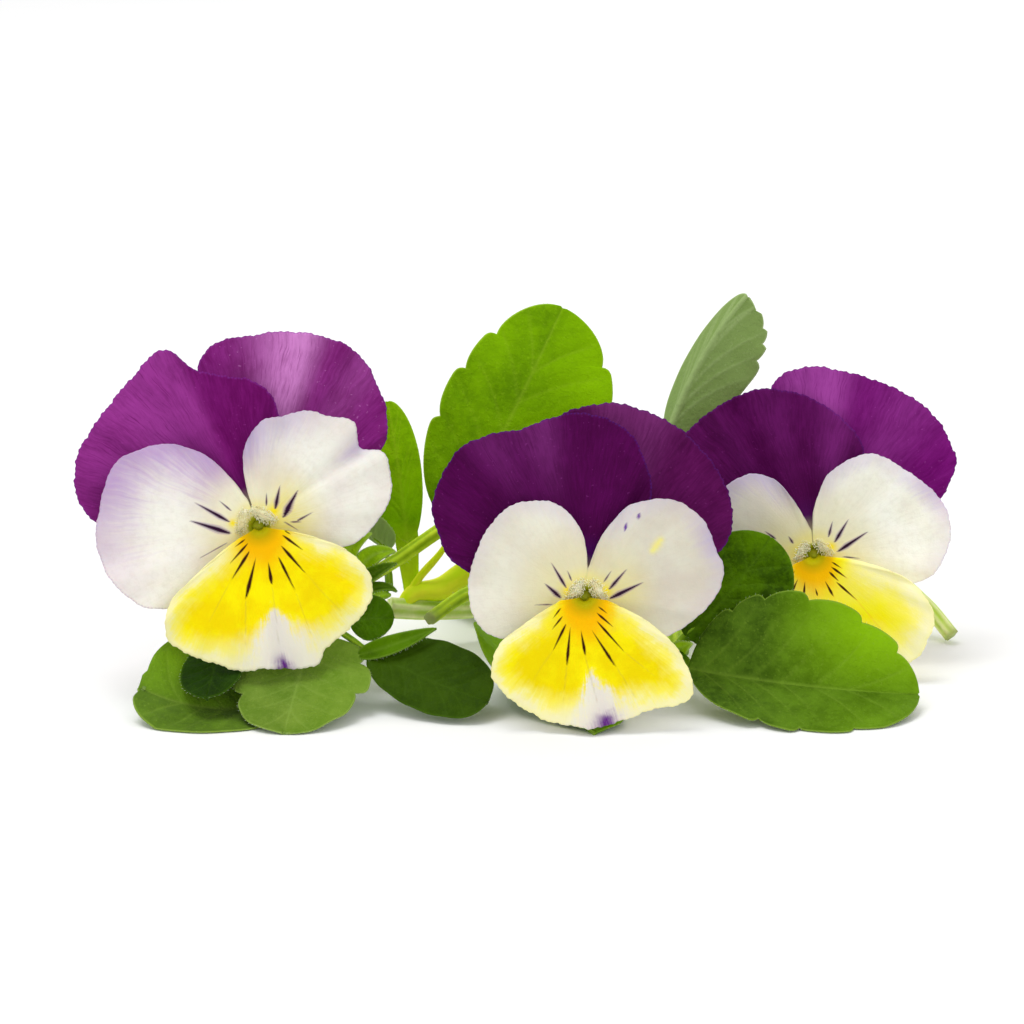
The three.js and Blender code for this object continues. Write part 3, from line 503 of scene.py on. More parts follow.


LEAVES = {
    "leaf_back_tall": Leaf(
        ([-7.3, 33.8, 16.3], [0.0, 38.0, 30.0], [6.5, 42.5, 43.0], [0.1, -0.95, 0.3]),
        Half(12.5, (0.42, 0.59, 0.757), fold=-0.1, egg=0), Half(9.2, (0.41, 0.56, 0.695), fold=-0.1),
        [[-13.6, 33.2, 6.6], [-11.8, 34.4, 9.4], [-8.8, 34.0, 13.2]], radius=0.5, dawn=0.25),
    "leaf_back_narrow": Leaf(
        ([20.2, 42.3, 26.4], [24.6, 44.8, 35.8], [30.4, 46.8, 43.7], [0.3, 0.95, -0.1]),
        Half(2.5, fold=1.3, full=0.7),
        Half(6.6, (0.62, 0.72, 0.82, 0.92), depth=0.8, fold=0.3, egg=-0.2, full=0.8),
        [[-14.0, 33.0, 5.8], [-12.4, 33.9, 7.4], [-9.0, 35.0, 7.6], [-5.4, 36.7, 9.5], [2, 39.4, 12.5],
            [12, 41.6, 18]], radii=[0.9, 1.5, 1.6, 0.9, 0.6, 0.5, 0.4, 0.3, 0.2], join=[0.01, 0.04, 0.08],
        side=-1, sweep=0.55, pucker=0.05),
    "leaf_left_tall": Leaf(
        ([-12.9, 35.6, 6.8], [-13.9, 34.2, 19.4], [-15.8, 37.4, 31.9], [0.15, -0.95, 0.2]),
        Half(2.8, fold=-0.2, egg=-0.1), Half(4.6, fold=-0.2, egg=-0.1), [[-13.2, 34.4, 6.0]], radius=0.5,
        young=0.8, neck=(0.34, 1.5)),
    "leaf_left_young": Leaf(
        ([-15.6, 29.8, 14.4], [-18.6, 28.6, 17.4], [-22.0, 28.4, 18.6], [0.2, 0.8, 0.5]),
        Half(1.3, fold=0.2), Half(2.8, fold=0.2), [[-15.6, 31.2, 8.8]], radius=0.5),
    "leaf_low_dark": Leaf(
        ([-20.0, 16.6, 8.6], [-17.4, 16.8, 9.2], [-14.6, 17.2, 9.0], [0.1, -0.85, 0.5]), Half(2.9, fold=0.2),
        Half(2.9, fold=0.2), [[-21.0, 17.0, 9.6]], radius=0.5),
    "leaf_low_centre": Leaf(
        ([-17.1, 12.0, 6.4], [-10.4, 8.2, 4.1], [-2.9, 4.2, 2.5], [0.25, -0.72, 0.65]),
        Half(4.5, fold=0.03, egg=-0.1, full=0.8), Half(5.9, fold=0.03, egg=-0.1, full=0.8),
        [[-21.2, 17.0, 7.4]], radius=0.4),
    "leaf_under_centre": Leaf(
        ([4.4, 21.0, 3.4], [5.2, 10.2, 1.5], [10.0, -1.0, 0.3], [0.0, -0.1, 1.0]),
        Half(7.2, fold=0.1, curl=0.55, egg=0.9), Half(7.4, (0.35, 0.55), fold=0.05, full=0.42),
        [[5.6, 39.2, 4.6], [5.2, 30.0, 4.6]]),
    "leaf_low_left_front": Leaf(
        ([-24.6, 15.5, 7.4], [-26.2, 6.6, 3.0], [-27.2, -0.9, 0.2], [0, -0.5, 0.86]),
        Half(7.7, (0.34, 0.56), depth=1.3, fold=0),
        Half(8.5, (0.26, 0.5), depth=1.3, fold=0.08, egg=0.3, full=0.85), [[-22.4, 16.8, 7.6]], radius=0.4),
    "leaf_low_left": Leaf(
        ([-27.5, 9.6, 1.2], [-36.5, 6.8, 0.8], [-45.6, 6.4, 3.8], [0, -0.42, 0.9]),
        Half(9.6, (0.6, 0.955), depth=1.1, fold=0.12, egg=-0.3, full=0.55),
        Half(7.8, (0.95,), depth=0.8, fold=0.05), [[-22.2, 15.2, 6.2], [-23.6, 13.4, 2.8]], radius=0.5),
    "leaf_low_left_small": Leaf(
        ([-35.4, 14.5, 7.6], [-36.2, 9.3, 5.0], [-36.7, 3.6, 3.2], [-0.1, -0.6, 0.8]),
        Half(3.9, fold=0.05, egg=-0.1), Half(3.6, fold=0.1, egg=-0.1),
        [[-22.0, 17.6, 8.4], [-28.0, 17.4, 8.2]], radius=0.5),
    "leaf_front_right": Leaf(
        ([21.6, 10.6, 4.6], [35.2, 9.6, 2.8], [49.5, 8.4, 2.0], [0, -0.64, 0.77]),
        Half(9.4, (0.38, 0.5, 0.66), fold=0.45, egg=-0.1),
        Half(11.1, (0.24, 0.36, 0.5, 0.67, 0.82), depth=0.85, fold=0.35, egg=0.12), [[20.6, 15.5, 4.8]],
        dawn=0.3),
    "leaf_mid_right": Leaf(
        ([21.6, 18.8, 6.4], [27.2, 20.8, 11.6], [32.2, 23.2, 17.8], [-0.25, -0.9, 0.35]),
        Half(7.2, fold=0.1, egg=-0.05), Half(6.4, fold=0.1, egg=-0.05), [[20.6, 19.8, 4.6]]),
    "leaf_rear_left": Leaf(
        ([-25.0, 24.6, 7.6], [-34.0, 30.6, 5.6], [-43.4, 35.4, -0.3], [-0.1, 0, 1]),
        Half(7, (0.4, 0.6, 0.8), fold=-0.15), Half(7, (0.4, 0.6, 0.8), fold=0.1),
        [[-22.2, 16.8, 8.4], [-23.6, 21.0, 8.4]], radius=0.5),
    "leaf_rear_centre": Leaf(
        ([1.5, 44.0, 4.4], [-2.0, 50.0, 4.0], [-5.5, 57.0, -0.3], [0, -0.1, 1]), Half(7.2, (0.4, 0.6, 0.8)),
        Half(7.2, (0.4, 0.6, 0.8)), [[5.0, 40.5, 4.6]]),
    "leaf_rear_right": Leaf(
        ([33.0, 49.6, 5.4], [37.5, 54.0, 3.8], [43.5, 58.5, -0.3], [0, -0.1, 1]), Half(6.5, (0.4, 0.6, 0.8)),
        Half(6.5, (0.4, 0.6, 0.8)), [[30.6, 47.2, 5.4]]),
}

# Screen colours of each leaf: its light and dark green, its under face, and its rim and veins. The bright
# yellow-greens of leaf_back_tall and of GLOWING stand for leaves lit from behind: painted light. Then how
# strongly a painted yellow-green, standing for light that shines through, brightens the right and left half.
GLOWING = ((142, 200, 0), (108, 158, 0), (134, 164, 60), (172, 212, 40))
MIDDLE = ((90, 130, 0), (60, 92, 0), (116, 144, 74), (138, 170, 50))
LEAF_LOOKS = {
    "leaf_back_tall": (((120, 170, 0), (88, 132, 0), (134, 164, 60), (172, 210, 50)), 0.8, 0.3),
    "leaf_back_narrow": (((128, 156, 80), (104, 134, 50), (132, 158, 88), (176, 198, 136)), 0, 0),
    "leaf_left_tall": (GLOWING, 0.4, 0.4),
    "leaf_left_young": (((150, 178, 100), (126, 156, 76), (150, 176, 104), (176, 204, 110)), 0, 0),
    "leaf_low_dark": (((78, 122, 0), (56, 90, 0), (104, 130, 74), (104, 140, 50)), 0, 0),
    "leaf_low_centre": (((56, 84, 4), (42, 68, 0), (104, 130, 74), (72, 104, 22)), 0, 0),
    "leaf_under_centre": (MIDDLE, 0.8, 0.6),
    "leaf_low_left_front": (((116, 144, 52), (94, 126, 34), (128, 154, 88), (152, 180, 84)), 0, 0.1),
    "leaf_low_left": (((96, 130, 32), (76, 104, 30), (116, 144, 74), (150, 180, 70)), 0.35, 0),
    "leaf_low_left_small": (((34, 64, 0), (20, 44, 0), (104, 130, 74), (60, 94, 10)), 0, 0),
    "leaf_front_right": (((88, 122, 26), (55, 83, 10), (116, 144, 74), (140, 172, 60)), 0.25, 0.75),
    "leaf_mid_right": (((84, 124, 0), (44, 72, 0), (104, 130, 74), (96, 134, 30)), 0, 0),
    "leaf_rear_left": (MIDDLE, 0.1, 0.1),
    "leaf_rear_centre": (MIDDLE, 0.3, 0.3),
    "leaf_rear_right": (MIDDLE, 0.1, 0.1),
}
# Leaves whose petioles take the brighter, painted-light copy of the stalk green.
BACKLIT_STALK_LEAVES = ("leaf_back_tall", "leaf_back_narrow", "leaf_left_tall")


def bell(offset, spread):
    """1 at no offset, falling to nothing a few spreads away."""
    return np.exp(-((offset / spread) ** 2))


def midrib(base, mid, tip, facing, share):
    """Places along a blade's midrib, the ways across the blade and the ways up from it."""
    base, mid, tip = np.array(base), np.array(mid), np.array(tip)
    through = 2 * mid - 0.5 * base - 0.5 * tip
    s = np.asarray(share, float)[..., None]
    place = base * (1 - s) ** 2 + through * 2 * s * (1 - s) + tip * s**2
    along = unit((through - base) * (1 - s) + (tip - through) * s)
    across = unit(np.cross(along, np.array(facing, float)))
    return place, across, np.cross(across, along)


def margin(half, neck, length, turn):
    """One half's margin laid flat: how far ahead of the base, and how far out from the midrib."""
    start, narrow = neck
    first = NECK_TURN if start else 0.0
    angle = math.pi * np.clip((turn - first) / (1 - first), 0, 1)
    ahead = length * (start * np.clip(turn / NECK_TURN, 0, 1) + (1 - start) * 0.5 * (1 - np.cos(angle)))
    out = half.reach * np.sin(angle) ** half.full * (1 + half.egg * np.cos(angle))
    out = np.hypot(out, narrow * np.cos(angle / 2) * np.minimum(1, 0.6 + 3 * turn))
    along, outward = np.gradient(ahead, turn), np.gradient(out, turn)
    pace = np.maximum(np.hypot(along, outward), 1e-3)
    bite = np.zeros_like(turn)
    for notch in half.notches:
        gap = (turn - notch) * pace
        bite = np.maximum(bite, np.exp(-np.where(gap < 0, -gap / NOTCH_STEEP, gap / NOTCH_GENTLE)))
    inward = half.depth * bite / pace
    return ahead + outward * inward, out - along * inward


def blade_turns(half):
    """Turns from base to tip, closer together at the notches."""
    fine = np.linspace(0.012, 0.988, 4000)
    density = np.ones_like(fine)
    for notch in half.notches:
        density += 5 * bell(fine - notch, 0.02)
    total = np.cumsum(density)
    return np.interp(np.linspace(total[0], total[-1], BLADE_ROWS), total, fine)


def distance_to(points, line):
    """Each point's distance to the nearest of a line's points."""
    nearest = np.full(len(points), np.inf)
    for place in line:
        nearest = np.minimum(nearest, np.linalg.norm(points - place, axis=1))
    return nearest


def side_veins(leaf, length, chart, sides):
    """How near each point of a flattened blade is to a side vein: within its groove, and within its swell."""
    fine, broad = np.zeros(len(chart)), np.zeros(len(chart))
    foot, span = leaf.neck[0], np.linspace(0, 1, 60)
    for way, edge_ahead, edge_out in sides:
        taper = np.clip(1.15 - np.abs(chart[:, 1]) / max(np.max(edge_out), 0.1), 0.25, 1)
        for start in VEIN_STARTS:
            start = foot + (1 - foot) * start
            end = min(start + leaf.sweep * rng.uniform(0.8, 1.15), 0.97)
            ahead = length * (start + (end - start) * span**0.8)
            out = 0.9 * np.interp(end * length, edge_ahead, edge_out) * span
            bow = 0.25 * np.sin(span * math.pi * 1.7 + rng.uniform(-0.4, 0.4)) * span
            gap = distance_to(chart, np.stack([ahead + bow, way * out], axis=1))
            fine = np.maximum(fine, 0.8 * taper * bell(gap, 0.15))
            broad = np.maximum(broad, bell(gap, 0.8))
    return fine, broad


def blade(leaf, material, sun):
    """The blade with its veins, and the points and outward directions of its margin."""
    right, left = leaf.right, leaf.left
    path, _, _ = midrib(*leaf.course, np.linspace(0, 1, 200))
    length = np.linalg.norm(np.diff(path, axis=0), axis=1).sum()
    turns = blade_turns(right)
    ahead_r, out_r = margin(right, leaf.neck, length, turns)
    ahead_l, out_l = margin(left, leaf.neck, length, blade_turns(left))
    lanes = np.linspace(-1, 1, 2 * BLADE_LANES + 1)[None, :]
    q, way = np.abs(lanes), np.sign(lanes)

    def sided(of_right, of_left):
        """The value for the half that each lane lies in."""
        return np.where(lanes > 0, of_right, of_left)

    root = np.clip((ahead_r + ahead_l) / (2 * length) - VEIN_LEAD * np.sin(math.pi * turns), 0, 1)[:, None]
    edge_ahead, edge_out = sided(ahead_r[:, None], ahead_l[:, None]), sided(out_r[:, None], out_l[:, None])
    ahead, out = np.clip(root + (edge_ahead / length - root) * q, 0, 1), edge_out * q
    reach = sided(right.reach, left.reach)
    phase = rng.uniform(0, 2 * math.pi, 4)
    wave = sided(np.sin(9 * ahead * math.pi + phase[0]), np.sin(8 * ahead * math.pi + phase[1]))
    rise = out * sided(right.fold, left.fold)
    rise += sided(right.curl, left.curl) * out**2 / reach * np.clip(1.6 - 1.9 * ahead, 0, 1)
    rise += 0.16 * wave * q**2 * np.minimum(reach / 8, 1)
    place, across, up = midrib(*leaf.course, ahead)
    chart = np.stack([ahead * length, way * out], axis=-1).reshape(-1, 2)
    found = side_veins(leaf, length, chart, ((1, ahead_r, out_r), (-1, ahead_l, out_l)))
    veins, broad = (f.reshape(out.shape) for f in found)
    rib = bell(out, 0.36 * (1 - 0.65 * ahead))
    broad = np.maximum(broad, bell(out, 1.3))
    rise += leaf.pucker * (1 - broad) * np.minimum(1, out / 1.5) * (1 - q**4) - 0.08 * np.maximum(veins, rib)
    grid = place + across * (way * out)[..., None] + up * rise[..., None]
    grid[..., 2] = np.maximum(grid[..., 2], 0.22 + 0.03 * np.maximum(grid[..., 2], 0))
    thin = LEAF_HALF * (1 - 0.55 * q**6)
    # Painted light: how strongly the yellow-green of light shining through is laid on each point.
    sunlit = sided(*sun) * np.minimum(1, 0.4 + out / reach) * np.clip((ahead - leaf.dawn) / 0.45, 0, 1)
    shell = sheet(grid, thin, thin + 0.2 * rib + 0.06 * veins, material, vein=np.maximum(veins, rib),
                  edge=(1 - q) * np.maximum(edge_out, 0.01), sun=sunlit,
                  # painted light: a bright yellow-green glow laid over the foot of the blade
                  young=leaf.young * np.clip(1.2 - ahead / 0.34, 0, 1))
    rims = []
    for lane, inner in ((-1, -3), (0, 2)):
        rims.append((grid[:, lane], unit(grid[:, lane] - grid[:, inner]), up[:, lane]))
    return shell, rims


def cilia(rims, per_mm, length):
    """Short hairs that stand out from a margin."""
    roots, ways = [], []
    for edge, outward, up in rims:
        along = run_of(edge)
        for at in np.arange(rng.uniform(0, 1), along[-1], 1 / per_mm):
            i = int(np.searchsorted(along, at)) % len(edge)
            roots.append(edge[i])
            ways.append(outward[i] + rng.normal(0, 0.25, 3) + 0.3 * up[i])
    return hairs(roots, ways, rng.uniform(0.5, 1.1, len(roots)) * length, 0.018, HAIR_WHITE)


def build_leaf(name, leaf):
    colours, *sun = LEAF_LOOKS[name]
    shell, rims = blade(leaf, painted(leaf_material, name + "_green", *colours), sun)
    places, _, up = midrib(*leaf.course, leaf.join)
    under = places - leaf.side * up * np.array([[0.45], [0.36], [0.3]])
    radii = leaf.radii or [leaf.radius, leaf.radius, 0.6 * leaf.radius, 0.3, 0.2]
    # The petioles of leaves lit from behind take a brighter copy of the stalk green, as painted light.
    green = PAINTED_BACKLIT_GREEN if name in BACKLIT_STALK_LEAVES else STALK_GREEN
    stalk = rod([*leaf.petiole, *under], radii, green, sides=16, per_mm=2.5, ribs=3, rib_height=0.12)
    piece(name + "_blade", [shell, stalk, cilia(rims, 1.6, 0.3)], "leaf", name)


# ---------- stems ----------
MAIN_STEM = [
    [56.8, 36.4, 1.0], [53.2, 39.6, 4.7], [47.6, 44.0, 8.0], [40.0, 47.4, 7.6], [30.0, 47.2, 5.6],
    [16.7, 43.2, 4.6], [6.2, 40.5, 4.3], [-5.4, 36.4, 4.6], [-11.0, 34.0, 5.2], [-15.6, 32.2, 6.0],
]
MAIN_RADII = [0.95, 0.95, 1.1, 1.15, 1.1, 1.25, 1.1, 1.2, 1.3]
# The arched side stem, the low branch that bears the leaves on the right, and the trimmed stalk: radii,
# how brown the far end is, and points.
BRANCHES = [
    ([1.0, 0.8], 0.0, [
        [12.7, 41.8, 5.2], [10.0, 36.6, 14.0], [2.0, 30.6, 21.0], [-5.3, 26.6, 20.2], [-9.4, 24.2, 18.1],
        [-13.9, 21.8, 15.5], [-18.2, 19.6, 13.2], [-20.8, 17.8, 10.6], [-22.0, 16.6, 8.2],
        [-22.6, 16.0, 6.2]]),
    ([1.1, 0.9], 0.0, [
        [22.0, 45.2, 5.0], [21.4, 36.0, 6.0], [20.6, 26.0, 4.6], [20.4, 18.0, 4.2], [20.6, 15.0, 4.4]]),
    ([0.9, 0.8], 1.0, [[4.6, 39.8, 4.8], [0.0, 36.5, 7.8], [-5.6, 30.5, 8.4], [-10.4, 24.5, 6.8]]),
]
# Narrow pointed lobes of the stipules: base, middle, tip, the way the face looks, reach, and whether dark.
STIPULES = [
    ([-19.8, 19.4, 13.6], [-20.4, 19.3, 16.9], [-17.2, 19.4, 19.4], [0.2, -0.9, 0.3], 1.4, False),
    ([-19.4, 19.8, 12.9], [-17.6, 19.4, 16.2], [-14.3, 20.4, 16.8], [0.1, -0.8, 0.6], 1.4, False),
    ([-20.0, 19.0, 12.0], [-17.4, 18.0, 14.4], [-14.2, 18.4, 15.9], [0.0, -0.7, 0.7], 1.0, True),
    ([-20.2, 17.6, 11.2], [-16.8, 18.0, 12.8], [-14.1, 18.2, 12.3], [0.0, -0.6, 0.8], 0.8, True),
    ([-18.8, 11.8, 6.0], [-14.2, 11.6, 7.5], [-9.2, 12.6, 9.3], [0.1, -0.7, 0.7], 1.3, True),
    ([20.4, 16.4, 4.4], [20.4, 13.6, 6.2], [22.0, 12.0, 7.4], [0.3, -0.9, 0.3], 1.4, False),
    ([-15.6, 31.4, 8.2], [-18.2, 29.6, 8.0], [-21.4, 28.6, 7.0], [0.0, -0.5, 0.9], 1.2, False),
    ([16.8, 43.4, 5.2], [19.4, 46.6, 7.2], [22.6, 48.8, 7.8], [0.0, 0.5, 0.9], 1.4, False),
    ([8.4, 41.8, 4.8], [11.4, 45.6, 6.0], [12.6, 49.4, 5.6], [0.1, 0.4, 0.9], 1.4, False),
]


def pointed_blade(base, mid, tip, facing, reach, material, rows=40, lanes=7, cup=0.25):
    """A narrow blade with a sharp tip, as of a sepal or a stipule's lobe, and its margins."""
    share = np.linspace(0.01, 0.995, rows)
    width = (reach * share**0.45 * (1 - share) ** 0.8 / 0.44)[:, None]
    side = np.linspace(-1, 1, lanes)
    place, across, up = midrib(base, mid, tip, facing, share)
    out = width * side
    rise = cup * np.abs(out) - 0.1 * bell(out, 0.2)
    grid = place[:, None] + across[:, None] * out[..., None] + up[:, None] * rise[..., None]
    thin = 0.14 * (1 - 0.4 * side**4)
    shell = sheet(grid, thin, thin + 0.1 * bell(out, 0.25), material,
                  vein=bell(out, 0.2), edge=width * (1 - np.abs(side)))
    return shell, [(grid[:, 0], -across, up), (grid[:, -1], across, up)]


def stem_hairs(points, radius, count, length):
    """Fine short hairs all round a stem."""
    path = spline(points, 200)
    tangents = unit(np.gradient(path, axis=0))
    picks = rng.integers(2, 198, count)
    ways = rng.normal(0, 1, (count, 3))
    ways = unit(ways - tangents[picks] * (ways * tangents[picks]).sum(axis=1, keepdims=True))
    roots = path[picks] + ways * radius * 0.95
    return hairs(roots, ways, rng.uniform(0.5, 1, count) * length, 0.014, HAIR_WHITE)


def build_stems():
    shells = [rod(MAIN_STEM, MAIN_RADII, STEM_GREEN, sides=30, ribs=6, rib_height=0.1, cut=(1.0, 0.0)),
              stem_hairs(MAIN_STEM, 1.1, 500, 0.35)]
    for radii, brown, points in BRANCHES:
        shells += [rod(points, radii, BRANCH_GREEN, sides=24, ribs=5, rib_height=0.1, cut=(0.0, brown)),
                   stem_hairs(points, 0.95, 160, 0.3)]
    for *course, reach, dark in STIPULES:
        shell, rims = pointed_blade(*course, reach, SEPAL_GREEN if dark else STIPULE_GREEN)
        shells += [shell, cilia(rims, 2.5, 0.4)]
    piece("leafy_stem_fine", shells, "stem", "leafy_stem")


# ---------- blooms ----------
# Each petal's depth at the throat, slope outward, backward bend at ARCH_REACH, and claw direction.
LAYERS = {
    "upper_back": (-3.4, -0.12, 1.4, 65),
    "upper_front": (-2.2, -0.07, 1.0, 140),
    "side_left": (-1.0, -0.02, 0.7, 200),
    "side_right": (-1.0, -0.02, 0.7, -8),
    "lower": (0.4, 0.12, 1.5, 270),
}
ARCH_REACH = 20
# Each bloom's throat is a place, yaw turns its face aside, and its stalk runs through places behind it. On
# its face, places are given as right, up and out from the middle of the throat: its heart, and for each
# beard the two ends of its ridge and half its width.
# Each petal's margin is a list of [degrees round the throat, distance from it]. Folds are ridges and
# troughs that run out from the throat: [degrees, height at the margin, half width in degrees]. The painted
# sheen is where a paler highlight is painted, standing for the velvet's sheen and the lit side of a fold;
# flush and warm are where a lavender or yellow tint lies. Each is [degrees, half width, strength], with a
# fourth number where its half width differs on the side of the greater angle. The painted sheen starts at
# its start share, a share of the way out. Marks are dark guide lines, from [right, up] of the end that is
# nearest the thickest place to the other end, then half the width. Veins and flecks are drawn the same
# way. A spot or blotch is [right, up, radius].
BLOOMS = {
    "left": SimpleNamespace(
        throat=[-30.4, 13.2, 20.9], yaw=5, heart=[-0.35, 1.05],
        beards=[[-2.75, 0.3, -1.95, 3.0, 0.82], [-1.2, 3.1, 1.7, 1.7, 0.85]],
        stalk=[[-27.6, 29.6, 15.0], [-23.0, 24.6, 12.0], [-20.6, 18.2, 11.0]]),
    "middle": SimpleNamespace(
        throat=[8.4, 4.7, 15.8], yaw=0, heart=[0.3, -0.25],
        beards=[[-1.8, -0.8, 0.2, 1.7, 0.85], [2.65, -0.7, 1.1, 1.7, 0.85]],
        stalk=[[9.4, 24.0, 12.4], [11.4, 32.0, 9.0], [13.0, 40.6, 5.6]]),
    "right": SimpleNamespace(
        throat=[38.6, 26.4, 14.2], yaw=-7, heart=[-0.75, 0.45],
        beards=[[-2.95, -0.2, -1.65, 1.95, 0.8], [1.5, 0.45, -0.45, 2.1, 0.8]],
        stalk=[[38.6, 39.6, 13.0], [39.4, 44.0, 10.4], [40.6, 47.0, 8.2]]),
}
